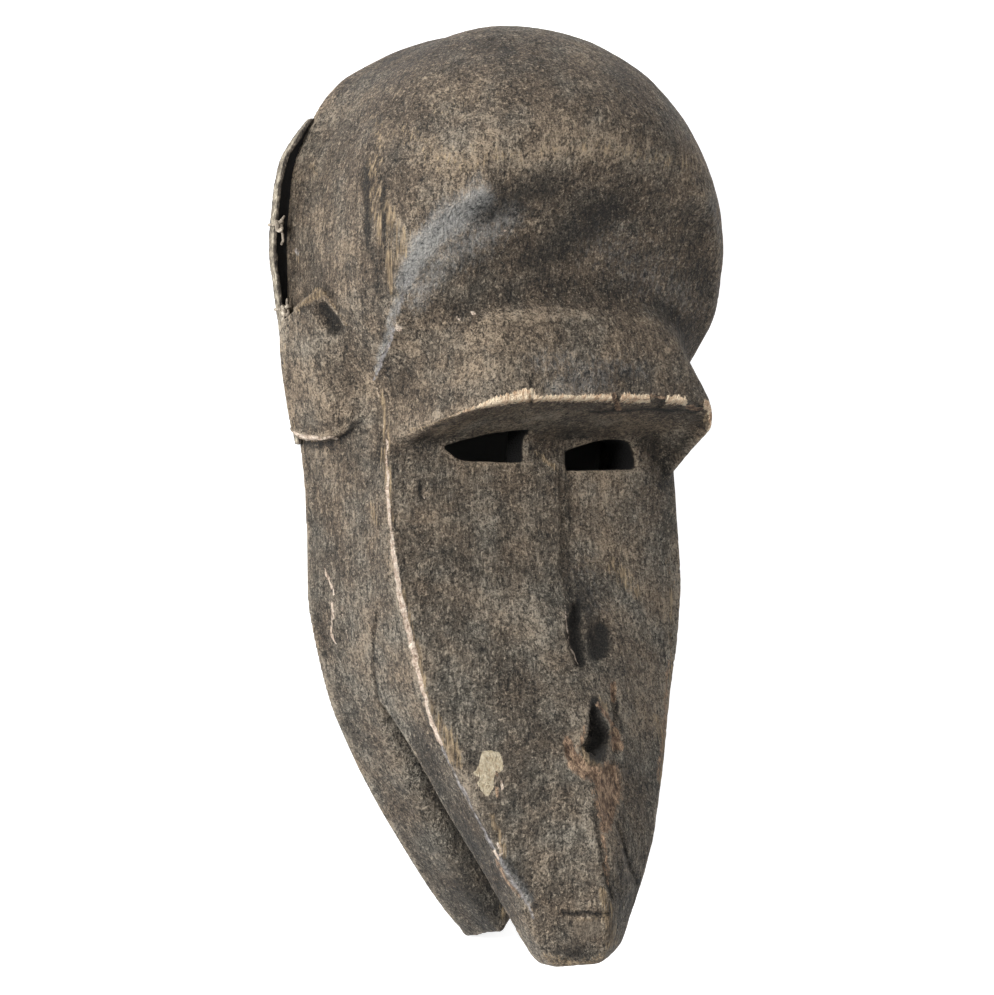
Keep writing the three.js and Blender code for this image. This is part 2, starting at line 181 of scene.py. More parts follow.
crease_x = profile(
    (TEMPLE_Y, 87), (115, 83.5), (126, 79.5), (132, 73.5), (138, 66), (145, 59.5), (153, 54),
    (159, 46.5), (163, 36), (CREASE_TOP_Y, 20), (175, 21), (195, 18), (CROWN_Y, 3),
)
face_middle = profile(
    (CREASE_TOP_Y, 135.5), (150, 126), (130, 117), (110, 111), (93, 108.5), (70, 100), (50, 87),
    (31, 77.5), (17, 74.5), (-2, 75.5), (-30, 79.5), (-67, 92), (-105, 109.5), (-139, 120),
    (-173, 127.5), (-195, 130.5), (-207, 128), (SNOUT_Y, 121),
)
face_roundness = profile(
    (CREASE_TOP_Y, 2), (87, 2), (50, 3), (17, 5), (-2, 4.4), (-30, 2.9), (-67, 1.6), (-105, 1.2),
    (-139, 1.1), (SNOUT_Y, 1.1),
)
left_brow_edge = profile(
    (0, BROW_EDGE_Y), (30, 45), (50, 43), (64, 39), (71, 33), (78, 25.5), (100, 19),
)
right_brow_edge = profile(
    (0, BROW_EDGE_Y), (30, 45), (50, 44.5), (60, 43.4), (66, 42), (69.5, 39.3), (71.5, 35),
    (73, 31.5), (80, 29.5),
)
brow_top = profile(
    (20, 124.2), (BROW_EDGE_Y, 124), (62, 122.5), (79, 117.5), (88, 112.5), (BROW_ROOT_Y, 107.5),
    (120, 84),
)
brow_shoulder = profile(
    (30, 71), (40, 66), (50, 61.5), (60, 57), (70, 52), (79, 46), (87, 37), (BROW_ROOT_Y, 26),
)
brow_flank_bend = profile((40, 1.3), (60, 1.5), (75, 1.8), (87, 2.2))
hollow_height = profile(
    (HOLLOW_TOP_Y, 60), (204, 78), (195, 96), (180, 110), (166, 114), (150, 107), (130, 100),
    (110, 95), (87, 90), (60, 78), (40, 64), (31, 60), (17, 58), (-5, 58), (-30, 60), (-55, 58),
    (-68, 48), (HOLLOW_END_Y, 30),
)
hollow_half_width = profile(
    (HOLLOW_TOP_Y, 14), (204, 30), (195, 47), (180, 62.5), (160, 74.5), (DOME_Y, 83.5), (73, 82.5),
    (24, 75.5), (0, 73), (-30, 69.5), (-55, 60), (-68, 46), (HOLLOW_END_Y, 26),
)
mouth_roof = profile(
    (MOUTH_APEX_Y, MOUTH_APEX_Z), (-100, 46), (-120, 57), (-152, 69), (-180, 80.5), (-200, 86.5),
    (-226, 91),
)


def dome_half_width(y):
    up = np.clip((y - DOME_Y) / (CROWN_Y - DOME_Y), 0, 1)
    return np.where(y > DOME_Y, HEAD_HALF_WIDTH * np.sqrt(1 - up * up), rim_below_dome(y))


def rim_half_width(y):
    return dome_half_width(y) + rim_flare(y)


def dome_x(y, z):
    round_part = np.sqrt(np.maximum(dome_half_width(y) ** 2 - np.maximum(z - DOME_Z, 0) ** 2, 0))
    return round_part + rim_flare(y) * np.maximum(1 - z / DOME_Z, 0) ** 2


def dome_z(x, y):
    return DOME_Z + np.sqrt(np.maximum(dome_half_width(y) ** 2 - x**2, 0))


def side_x(y, z):
    """Half the width of the carving at station y and height z, below the arris."""
    bulge = mix(1, 2.8, ramp(y, -40, 90))
    leaning = mix(rim_half_width(y), arris_x(y), np.clip(z / arris_z(y), 0, 1) ** bulge)
    return mix(leaning, dome_x(y, z), ramp(y, 66, TEMPLE_Y))


def arris(y):
    """Half the width and the height of the line where the side meets the face."""
    above = ramp(y, TEMPLE_Y - 6, TEMPLE_Y + 8)
    x = mix(side_x(y, arris_z(y)), crease_x(y), above)
    return x, mix(arris_z(y), dome_z(crease_x(y), y), above)


def brow_edge(x):
    return np.where(x > 0, right_brow_edge(x), left_brow_edge(-x))


SHOULDER_ROUND = 6


def brow_upper(x, y):
    """Height of the top of the brow: flat to its shoulder, and then bending down to the side."""
    def beyond(d):
        return (d + np.hypot(d, SHOULDER_ROUND)) / 2

    shoulder = brow_shoulder(y)
    side, side_height = arris(y)
    down = np.clip(beyond(np.abs(x) - shoulder) / beyond(side - shoulder), 0, 1)
    top = brow_top(y) - 3 * np.clip(np.abs(x) / shoulder, 0, 1) ** 2
    return side_height + (top - side_height) * (1 - down) ** brow_flank_bend(y)


def brow(x, y):
    """The cushion that stands out over the eyes like the peak of a cap."""
    reach = RIGHT_BROW_REACH * ramp(x, 30, 64) * (1 - ramp(y, 34, 72))
    edge = brow_edge(x)
    upper = brow_upper(np.abs(x) - reach, np.maximum(y, edge))
    underside = mix(BROW_UNDERSIDE, BROW_END_UNDERSIDE, ramp(x, 56, 70))
    return np.where(y > edge, upper, upper - underside * (edge - y))


def nose_ridge(x, y):
    """A low ridge down the nose, with its sharper flank on the right."""
    height = 2.6 * ramp(y, -88, -55) * (1 - ramp(y, 12, 24))
    flank = mix(0, 5.5, ramp(y, -65, 15))
    return height * ramp(x, flank - 28, flank - 12) * (1 - ramp(x, flank, flank + 9))


FOREHEAD_SLOPE = 0.58
RIDGE_ROUND = 0.07
CURVE_POINTS = 10


def face_height(x, y):
    """Height of the whole face over (x, y), brow and nose included."""
    side, side_height = arris(y)
    share = np.clip(np.abs(x) / side, 0, 1)
    rounded = np.hypot(share, RIDGE_ROUND) - RIDGE_ROUND * (1 - share)
    bare = mix(face_middle(y), side_height, rounded ** face_roundness(y))
    # Near the top of the forehead the face runs on, straight up through the dome
    run_on = face_middle(y) + FOREHEAD_SLOPE * np.maximum(y - CREASE_TOP_Y, 0) - x * x / 1000
    bare = mix(bare, run_on, ramp(y, 138, 154))
    inside = 1 - share ** np.where(x > 0, 26, 16)
    peaked = mix(bare, soft_max(bare, brow(x, y), 7), inside)
    return peaked + nose_ridge(x, y)


def quadratic(start, bend, end):
    """Points along a curve from start to end, drawn towards the point `bend`."""
    t = np.linspace(0, 1, CURVE_POINTS)[:, None]
    start, bend, end = (np.array(p, float) for p in (start, bend, end))
    return (1 - t) ** 2 * start + 2 * t * (1 - t) * bend + t * t * end


def eye_outline(inner_low, outer_low, outer_bend, outer_high, top_bend, inner_high):
    """An eye hole: straight at the nose and below, and curved at its outer end and on top."""
    outer = quadratic(outer_low, outer_bend, outer_high)
    top = quadratic(outer_high, top_bend, inner_high)
    return np.vstack([[inner_low], outer, top[1:]])


LEFT_EYE = eye_outline(
    (-BRIDGE_HALF_WIDTH, 16.3), (-42, 16.8), (-48, 18.5), (-53, 23.5), (-34, 30),
    (-BRIDGE_HALF_WIDTH, 31.5),
)
RIGHT_EYE = eye_outline(
    (BRIDGE_HALF_WIDTH, 12.4), (50, 13.2), (52.5, 18), (47, 25.5), (36, 30.5),
    (BRIDGE_HALF_WIDTH, 21.5),
)
EAR_OUTLINE = np.array([
    (95.5, 38), (91, 27), (86.5, 18), (82.5, 8), (75, 6.6), (65, 6.5), (54, 6.5), (43, 6.5),
    (32, 6.8), (27.5, 12), (26.5, 22), (27, 33), (33, 46), (46, 57), (66, 57), (83, 51), (91, 45),
], float)
EAR_ROOT_X = 78
EAR_FACE_X = 104.9
EAR_Y = 70.0
EAR_LEAN = 0.13


def ear_face(y, z):
    """Half the width at the face of an ear: proud at the back, sinking into the wall in front."""
    rim = rim_half_width(np.clip(y, 30, 90))
    plane = EAR_FACE_X + rim - rim_half_width(np.array(EAR_Y)) - EAR_LEAN * z
    return mix(plane, side_x(y, z), ramp(z, 30, 54)) - ramp(z, 48, 57)


def inside_distance(outline, u, v):
    """How far (u, v) is inside a closed outline; negative outside it."""
    nearest = np.full(np.broadcast(u, v).shape, 1e9)
    crossings = np.zeros(nearest.shape, bool)
    for (au, av), (bu, bv) in zip(outline, np.roll(outline, -1, axis=0)):
        du, dv = bu - au, bv - av
        t = np.clip(((u - au) * du + (v - av) * dv) / (du * du + dv * dv + 1e-12), 0, 1)
        nearest = np.minimum(nearest, np.hypot(u - au - t * du, v - av - t * dv))
        spans = (av > v) != (bv > v)
        with np.errstate(divide="ignore", invalid="ignore"):
            crossings ^= spans & (u < du * (v - av) / dv + au)
    return np.where(crossings, nearest, -nearest)


def inside_eyes(x, y):
    return np.maximum(inside_distance(LEFT_EYE, x, y), inside_distance(RIGHT_EYE, x, y))


def inside_arch(wide, z, half_width, height):
    """How far a place is inside the arched section of the hollow behind the face."""
    across = (wide / half_width) ** HOLLOW_POWER
    up = (np.maximum(z, 0) / height) ** HOLLOW_POWER
    return (1 - (across + up) ** (1 / HOLLOW_POWER)) * np.minimum(half_width, height)


# the carving as a field
VOXEL = 0.9
BAND = 4.0                      # the field is only kept this near to the surface
SKIN_BAND = 3.0                 # and a mesh is made from this much of it
GRID_ENDS = ((-108, 108), (-219, 225), (-4, 138))
DOME_STEEPNESS = 100            # makes the ellipsoid's field nearly a distance
ROOF_STEEPNESS = 0.85           # and the field above the mouth
EYE_HOLE_FLOOR = 35             # the eye holes reach from the face to the hollow, not to the back
# Widths over which edges and corners are rounded
SNOUT_ROUND = 3
MOUTH_ROUND = 1.2
MOUTH_APEX_ROUND = 1
HOLLOW_ROUND = 3
HOLLOW_END_ROUND = 14
EAR_ROUND = 0.8
EYE_ROUND = 1.6
JAW_TIP_ROUND = 6


def grid_axis(low, high):
    return np.arange(low, high + VOXEL, VOXEL)


def per_distance(field):
    """What a field of heights must be scaled by to be a distance near its zero."""
    steep = sum(slope * slope for slope in np.gradient(field, VOXEL))
    return np.clip(1 / np.sqrt(1 + steep), 0.3, 1)


def blur(field):
    """Rounds every edge of a field by about a voxel."""
    for axis in range(3):
        field = np.moveaxis(field, axis, 0)
        field[1:-1] = (field[:-2] + 2 * field[1:-1] + field[2:]) / 4
        field = np.moveaxis(field, 0, axis)
    return field


def crown_fullness(x, y):
    """How much wider than an ellipsoid the dome is near the crown; the carving isn't even."""
    left = 2.6 * ramp(y, 172, 190) * (1 - ramp(y, 196, 212)) - 1.8 * ramp(y, 210, 217)
    right = -1.8 * ramp(y, 194, 212) - 3 * ramp(y, 212, 220)
    return np.where(x < 0, left, right)


def crown_corner(x, y):
    """The same for the upper part of the crown, on the left."""
    return 7.5 * (x < 0) * ramp(y, 204, 223)


def carving_field():
    """The carving on a grid: positive in the wood, and nearly a distance near its skin."""
    x, y, z = (grid_axis(*ends) for ends in GRID_ENDS)
    xy_x, xy_y = (a.astype(np.float64) for a in np.meshgrid(x, y, indexing="ij"))
    yz_y, yz_z = np.meshgrid(y, z, indexing="ij")
    wide = np.abs(x)[:, None, None].astype(np.float32)

    def over_xy(values):
        return values.astype(np.float32)[:, :, None]

    def over_yz(values):
        return values.astype(np.float32)[None, :, :]

    heights = z.astype(np.float32)[None, None, :]

    face = face_height(xy_x, xy_y)
    face = (over_xy(face) - heights) * over_xy(per_distance(face))

    side = side_x(yz_y, np.maximum(yz_z, 0))
    walls = (over_yz(side) - wide) * over_yz(per_distance(side))

    # Over the dome the two directions are one ellipsoid, with the flare taken off its width
    flare = rim_flare(yz_y) * np.maximum(1 - np.maximum(yz_z, 0) / DOME_Z, 0) ** 2
    up = np.maximum(yz_y - DOME_Y, 0) / (CROWN_Y - DOME_Y)
    fuller = over_xy(crown_fullness(xy_x, xy_y))
    fuller = fuller + over_xy(crown_corner(xy_x, xy_y)) * ramp(heights, 12, DOME_Z)
    out = np.maximum(wide - over_yz(flare) - fuller, 0) / HEAD_HALF_WIDTH
    ahead = np.maximum(yz_z - DOME_Z, 0) / HEAD_HALF_WIDTH
    dome = (1 - np.sqrt(out * out + over_yz(up * up + ahead * ahead))) * DOME_STEEPNESS
    walls = np.where(over_yz(yz_y) > DOME_Y, dome, walls)
    wood = soft_min(face, walls, over_xy(arris_softness(xy_x, xy_y)))
    snout_end = xy_y - SNOUT_Y - SNOUT_SLANT * np.maximum(xy_x - SNOUT_SLANT_X, 0)
    wood = soft_min(wood, over_xy(snout_end), SNOUT_ROUND)
    del face, dome, out

    above_roof = over_yz(yz_z - mouth_roof(yz_y)) * ROOF_STEEPNESS
    behind = over_yz(yz_y - MOUTH_APEX_Y)
    wood = soft_min(wood, soft_max(above_roof, behind, MOUTH_APEX_ROUND), MOUTH_ROUND)
    wood = np.maximum(wood, lower_jaw(over_yz(yz_y), heights, wide))

    half_width, height = hollow_half_width(yz_y), hollow_height(yz_y)
    room = inside_arch(wide, heights, over_yz(half_width), over_yz(height))
    ends = np.minimum(yz_y - HOLLOW_END_Y, HOLLOW_TOP_Y - yz_y)
    room = soft_min(room, over_yz(ends), HOLLOW_END_ROUND)

    ears = over_yz(ear_face(yz_y, yz_z)) - wide
    ears = np.minimum(ears, over_yz(inside_distance(EAR_OUTLINE, yz_y, yz_z)))
    ears = np.minimum(ears, wide - EAR_ROOT_X)
    wood = soft_max(wood, ears, EAR_ROUND)
    wood = soft_min(wood, -room, HOLLOW_ROUND)
    del room, ears

    holes = np.minimum(over_xy(inside_eyes(xy_x, xy_y)), heights - EYE_HOLE_FLOOR)
    wood = soft_min(wood, -holes, EYE_ROUND)
    wood = blur(np.clip(wood, -BAND, BAND))
    return np.minimum(wood, heights), np.array([x[0], y[0], z[0]])


def arris_softness(x, y):
    """How wide the edge of the face is rounded: crisp along the snout, soft over the forehead."""
    left = mix(0.8, 7.0, ramp(y, 108, 140))
    right = mix(1.0, 7.0, ramp(y, 60, 100))
    return mix(np.where(x < 0, left, right), 13.0, ramp(y, 132, 160))


def lower_jaw(y, z, wide):
    """Flat inside, with rounded shoulders, and shorter than the snout above it."""
    station = y[0, :, 0].astype(float)
    half = rim_half_width(station)
    top = mix(MOUTH_APEX_Z, JAW_END_Z, ramp(-station, -MOUTH_APEX_Y, 200))
    shoulder = np.minimum(mix(1, 9, ramp(-station, -MOUTH_APEX_Y, 125)), half * 0.6)
    shoulder = np.maximum(shoulder, 1)
    top, shoulder, half = (a.astype(np.float32)[None, :, None] for a in (top, shoulder, half))
    above = top - z
    beside = half - JAW_LEAN * z - wide
    corner = np.maximum(shoulder, np.minimum(above, beside)) - np.hypot(
        np.maximum(shoulder - above, 0), np.maximum(shoulder - beside, 0)
    )
    corner = soft_min(corner, y - JAW_TIP_Y + 4, JAW_TIP_ROUND)
    return np.minimum(corner, MOUTH_APEX_Y + 3 - y)


def in_frame(places):
    """Places in millimetres in the mask's own axes as one row of frame coordinates."""
    return (places * MM + SHIFT).astype(np.float32).ravel()


def skin_of(name, field, corner, step):
    """An object with the surface of a field, given on a grid of places from `corner` on."""
    grid = openvdb.FloatGrid(SKIN_BAND)
    grid.copyFromArray(np.clip(-field, -SKIN_BAND, SKIN_BAND).astype(np.float32))
    places, quads = grid.convertToQuads(isovalue=0.0)
    mesh = bpy.data.meshes.new(name)
    mesh.vertices.add(len(places))
    mesh.vertices.foreach_set("co", in_frame(places * step + corner))
    mesh.loops.add(quads.size)
    mesh.loops.foreach_set("vertex_index", quads.astype(np.int32).ravel())
    mesh.polygons.add(len(quads))
    mesh.polygons.foreach_set("loop_start", np.arange(0, quads.size, 4, dtype=np.int32))
    mesh.update(calc_edges=True)
    mesh.validate()
    piece = bpy.data.objects.new(name, mesh)
    bpy.context.scene.collection.objects.link(piece)
    mesh.shade_smooth()
    return piece


def vertex_places(piece):
    """The places of a piece's vertices, in millimetres in the mask's own axes."""
    places = np.empty(len(piece.data.vertices) * 3, np.float32)
    piece.data.vertices.foreach_get("co", places)
    return (places.reshape(-1, 3).astype(float) - SHIFT) / MM


def vertex_normals(piece):
    normals = np.empty(len(piece.data.vertices) * 3, np.float32)
    piece.data.vertices.foreach_get("normal", normals)
    return normals.reshape(-1, 3).astype(float)


def roughened(piece, height_at):
    """Moves a piece's vertices out along their normals, by what height_at(places, normals) says."""
    places, normals = vertex_places(piece), vertex_normals(piece)
    moved = places + normals * height_at(places, normals)[:, None]
    piece.data.vertices.foreach_set("co", in_frame(moved))
    piece.data.update()
    return piece


def decimate(piece, ratio, vertex_group=""):
    modifier = piece.modifiers.new("decimate", "DECIMATE")
    modifier.ratio = ratio
    modifier.vertex_group = vertex_group
    depsgraph = bpy.context.evaluated_depsgraph_get()
    result = bpy.data.meshes.new_from_object(piece.evaluated_get(depsgraph))
    piece.modifiers.clear()
    old = piece.data
    piece.data = result
    bpy.data.meshes.remove(old)


# the photograph's view
VIEW_AZIMUTH = math.radians(-30)
VIEW_DISTANCE = 2.0
VIEW_AIM = Vector((-0.01535, -0.00287, 0.060))
IMAGE_WIDTH = 994
IMAGE_HEIGHT = 995
FOCAL_PIXELS = 4290
SENSOR = 36
FAR_FROM_STROKE = -2.0          # what stroke() gives well away from it

towards = Vector((math.sin(VIEW_AZIMUTH), 0, math.cos(VIEW_AZIMUTH)))
image_up = Vector((0, 1, 0))
image_right = image_up.cross(towards)


def photo_place(places):
    """The pixel of the photograph, u to the right and v down, at which each place shows."""
    from_aim = places * MM + SHIFT - np.array(VIEW_AIM)
    scale = FOCAL_PIXELS / (VIEW_DISTANCE - from_aim @ np.array(towards))
    u = IMAGE_WIDTH / 2 + scale * (from_aim @ np.array(image_right))
    v = IMAGE_HEIGHT / 2 - scale * (from_aim @ np.array(image_up))
    return u, v


def stroke(u, v, stations):
    """How far inside a stroke each place lies: 1 along its middle, 0 at its sides, less outside.

    `stations` are (u, v, width) in pixels of the photograph.
    """
    stations = np.array(stations, float)
    points, halves = stations[:, :2], stations[:, 2] / 2
    reach = 3 * halves.max()
    low, high = points.min(0) - reach, points.max(0) + reach
    near = np.flatnonzero((u > low[0]) & (u < high[0]) & (v > low[1]) & (v < high[1]))
    share = np.full(len(u), FAR_FROM_STROKE)
    nu, nv = u[near], v[near]
    best = share[near]
    for i in range(len(points) - 1):
        (au, av), (du, dv) = points[i], points[i + 1] - points[i]
        t = np.clip(((nu - au) * du + (nv - av) * dv) / (du * du + dv * dv), 0, 1)
        half = mix(halves[i], halves[i + 1], t)
        best = np.maximum(best, 1 - np.hypot(nu - au - t * du, nv - av - t * dv) / half)
    share[near] = best
    return share


def room_depth(places):
    """How far a place is inside the hollow behind the face; negative outside it."""
    x, y, z = places.T
    arched = inside_arch(np.abs(x), z, hollow_half_width(y), hollow_height(y))
    return np.minimum(arched, np.minimum(y - HOLLOW_END_Y, HOLLOW_TOP_Y - y))


def shown(places, normals):
    """1 on the outside that the photograph shows; 0 inside, below the snout and beyond."""
    x, y, z = places.T
    facing = ramp(normals @ np.array(towards), -0.02, 0.12)
    roof = mouth_roof(y)
    sight_x = x + (roof - z) * towards.x / towards.z
    covered = (y < MOUTH_APEX_Y) & (z < roof - 1) & (sight_x > -side_x(y, roof))
    return facing * (room_depth(places) < -3.5) * ~covered


# carved and worn relief
# Dents and ridges by their places in the photograph: depth or height in millimetres, and then
# (u, v, width) in pixels for each station
DENTS = {
    "torn wood right of the hole": (
        1.4, (613, 686, 6), (614, 700, 7), (616, 726, 10), (616, 750, 14),
    ),
    "left nostril": (2.4, (576, 606, 12), (575, 634, 26), (580, 662, 14)),
    "right nostril": (1.8, (600, 630, 32), (600, 650, 34)),
    "crack on the cheek": (1.0, (420, 481, 4), (420, 497, 4)),
    "crack in the brow": (0.9, (531, 374, 4), (530, 402, 4)),
    "crack above the mouth": (0.8, (378, 699, 4), (374, 672, 4), (373, 640, 4), (376, 612, 4)),
    "line above the tip": (0.7, (562, 913, 6), (608, 914, 6)),
    "left line on the snout": (0.8, (594, 804, 6), (600, 850, 6), (612, 898, 6)),
    "right line on the snout": (0.7, (617, 823, 5), (626, 855, 5), (638, 884, 5)),
    "gap in the tip": (1.0, (566, 960, 10), (584, 948, 10)),
    "right flank of the nose": (0.6, (561, 474, 9), (562, 530, 9), (563, 575, 9)),
    "chip in the brow's corner": (1.2, (708, 407, 12), (712, 418, 12)),
    "gap in the brow's edge": (0.9, (617, 396, 7), (616, 408, 7)),
    "second gap in the brow's edge": (0.8, (657, 398, 12), (660, 406, 12)),
    "third gap in the brow's edge": (0.9, (694, 402, 10), (702, 408, 10)),
    "dent under the temple": (0.6, (344, 596, 14), (346, 640, 20)),
}
RIDGES = {
    "strip along the snout": (0.9, (606, 818, 18), (613, 850, 24), (625, 888, 22)),
    "panel on the tip": (0.6, (578, 928, 24), (598, 928, 24)),
    "rim of the ear's tip": (1.1, (296, 309, 7), (321, 291, 7), (346, 325, 7)),
    "lower edge of the ear": (0.8, (292, 430, 9), (322, 437, 9), (350, 428, 9)),
}
# Sunk or raised patches: outline in pixels, softness of its edge in pixels, depth in millimetres
PATCHES = {
    "hole in the broken nose": (
        [(593, 701), (597, 708), (600, 718), (607, 727), (611, 734), (609, 743), (603, 750),
         (595, 755), (585, 752), (581, 746), (587, 738), (590, 726), (590, 712)], 4, 10.0,
    ),
    "torn wood left of it": (
        [(564, 740), (570, 743), (577, 752), (590, 760), (604, 767), (602, 778), (588, 777),
         (574, 766), (564, 752)], 4, 2.2,
    ),
    "torn wood below it": (
        [(590, 776), (604, 770), (613, 760), (621, 776), (623, 792), (617, 812), (613, 828),
         (604, 822), (599, 806), (594, 790)], 5, 1.7,
    ),
    "hollow below the ear's tip": (
        [(316, 303), (326, 298), (347, 326), (344, 335), (333, 339), (321, 329),
         (314, 314)], 7, 3.0,
    ),
}


SCOOP_EDGE = 1.6                # how narrow the ridges between scoops are


def facets(places, size, seed):
    """The scoops that a blade leaves side by side: 0 in the middle of one, 1 where two meet."""
    place = places / size
    whole = np.floor(place).astype(np.int64)
    first = np.full(len(places), np.inf)
    second = first.copy()
    for step in np.ndindex(3, 3, 3):
        cell = whole + np.array(step) - 1
        centre = cell + np.stack([lattice(*cell.T, seed + axis) for axis in range(3)], axis=1)
        distance = np.linalg.norm(centre - place, axis=1)
        second = np.minimum(second, np.maximum(first, distance))
        first = np.minimum(first, distance)
    return np.clip(1 - (second - first) * SCOOP_EDGE, 0, 1) ** 2


# The brow's rings, in pixels of the photograph: their middle and the distances where they fade out
RINGS_U = 552
RINGS_V = 338
RINGS_FADE = (26, 50)
RINGS_WIDENED = 1.7             # they are this much wider than high
RING_GAP = 1.5


def brow_rings(u, v, rough):
    """Curved marks of the blade round the middle of the brow's cushion, from -1 to 1."""
    across = np.hypot((u - RINGS_U) / RINGS_WIDENED, v - RINGS_V)
    return np.sin(across / RING_GAP + 2.2 * rough) * (1 - ramp(across, *RINGS_FADE))


def relief(places, normals):
    """How far the carved and worn surface stands above the plain form, in millimetres."""
    u, v = photo_place(places)
    seen = shown(places, normals)
    inside = room_depth(places) > -2.5
    # Swells, small lumps, facets that are larger in the hollow, grain along the mask, and pits
    rough = fractal(places, 5.0, 3, seed=31)
    height = 0.28 * fractal(places, 22.0, 2, seed=3) + 0.10 * rough
    large_facets = 0.5 * facets(places, (11, 17, 11), seed=5)
    height += np.where(inside, large_facets, 0.14 * facets(places, (7, 12, 7), seed=9))
    grain = noise(places, (1.8, 16, 1.8), seed=12)
    height += 0.07 * grain
    pitted = ramp(noise(places, 25, seed=23), -0.3, 0.4)
    height -= 0.9 * (np.clip(noise(places, 2.6, seed=21) - 0.42, 0, 1) * pitted)
    # The marks that the photograph shows
    ragged = 1 + 0.35 * fractal(places, 3.0, 2, seed=17)
    for depth, *stations in DENTS.values():
        share = stroke(u + 3 * rough, v + 2 * grain, stations)
        height -= depth * seen * ramp(share, 0, 0.9) * ragged
    for outline, soft, depth in PATCHES.values():
        wander = 1.4 * rough
        inner = inside_distance(np.array(outline, float), u + wander, v + 1.4 * grain) / soft
        height -= depth * seen * np.clip(inner, 0, 1) * (0.85 + 0.3 * rough)
    height += 0.26 * seen * brow_rings(u, v, rough)
    for raised, *stations in RIDGES.values():
        height += raised * seen * ramp(stroke(u + 2 * rough, v, stations), 0.0, 0.7) * ragged
    return np.where(places[:, 2] < 1.0, 0, height)


def smoothed(values, edges, passes):
    """Evens out values given on vertices along the edges of their mesh."""
    count = np.bincount(edges.ravel(), minlength=len(values))[:, None]
    values = values.reshape(len(values), -1)
    for _ in range(passes):
        total = np.stack([
            np.bincount(edges[:, 0], values[edges[:, 1], k], len(values))
            + np.bincount(edges[:, 1], values[edges[:, 0], k], len(values))
            for k in range(values.shape[1])
        ], axis=1)
        values = (values + total / count) / 2
    return values


def edge_list(piece):
    edges = np.empty(len(piece.data.edges) * 2, np.int32)
    piece.data.edges.foreach_get("vertices", edges)
    return edges.reshape(-1, 2)


def add_attribute(piece, name, values):
    attribute = piece.data.attributes.new(name, "FLOAT", "POINT")
    attribute.data.foreach_set("value", np.asarray(values, np.float32).ravel())


def carved_mask():
    """The whole carving as one object."""
    field, corner = carving_field()
    piece = roughened(skin_of("carved_mask", field, corner, VOXEL), relief)
    thin_out(piece)
    return piece


MASK_TRIANGLES = 190000
PLAIN_TRIANGLES = 56000


def triangle_count(piece):
    return len(piece.data.loops) - 2 * len(piece.data.polygons)


def thin_out(piece):
    """Fewer triangles: first on the far side and inside, and then everywhere."""
    front = shown(vertex_places(piece), vertex_normals(piece)) > 0.5
    group = piece.vertex_groups.new(name="plain")
    group.add(np.flatnonzero(~front).tolist(), 1.0, "REPLACE")
    all_triangles = triangle_count(piece)
    front_triangles = all_triangles * front.mean()
    ratio = (front_triangles + PLAIN_TRIANGLES) / all_triangles
    decimate(piece, ratio, vertex_group=group.name)
    piece.vertex_groups.clear()
    decimate(piece, MASK_TRIANGLES / triangle_count(piece))


# the strip of hide and its thongs
STRIP_TOP_Y = 178
STRIP_END_Y = 25
STRIP_FLOOR = 0.4
STRIP_TOP_ROUND = 1.2
FOOT_TOP = 1.3
UPPER_KNOT_Y = 126.5
LOWER_KNOT_Y = 87.6
THONG_RADIUS = 0.62
KNOT_RADIUS = 0.82
KNOT_HALF_WIDTH = 1.925
KNOT_HALF_LENGTH = 2.53
KNOT_RISE = 2.3                 # from the top of the strip to the middle of the knot
WRAP_GAP = 0.45                 # from the hide to the middle of the thong round it
THONG_FLOOR = 0.35
BOX_SIZE = (18, 20, 12.5)       # of the grid for one thong
BOX_BELOW = (9, 10, 8.2)        # how far it starts before the middle of the knot
strip_offset = profile(
    (STRIP_TOP_Y, 0.3), (168, 2.2), (157, 4.9), (140, 6.1), (120, 6.6), (110, 6.5), (100.5, 5),
    (88, 3.4), (81, 2.4), (69, 1.2), (56, 0.6), (43, 1.2), (32, 0.7), (STRIP_END_Y, 0.3),
)
strip_height = profile((STRIP_TOP_Y, 3.4), (165, 5.2), (60, 5.4), (STRIP_END_Y, 4))


def rim_slope(y):
    return (rim_half_width(y + 1) - rim_half_width(y - 1)) / 2


def outside_rim(y, off):
    """A place `off` millimetres outside the rim on the left, at station y."""
    y = np.asarray(y, float)
    slope = rim_slope(y)
    length = np.hypot(1, slope)
    return -rim_half_width(y) - off / length, y - off * slope / length


def along(y, size, seed):
    """Noise that only changes along the mask."""
    flat = np.ravel(y)
    return noise(np.stack([flat, 0 * flat, 0 * flat], axis=1), size, seed).reshape(np.shape(y))


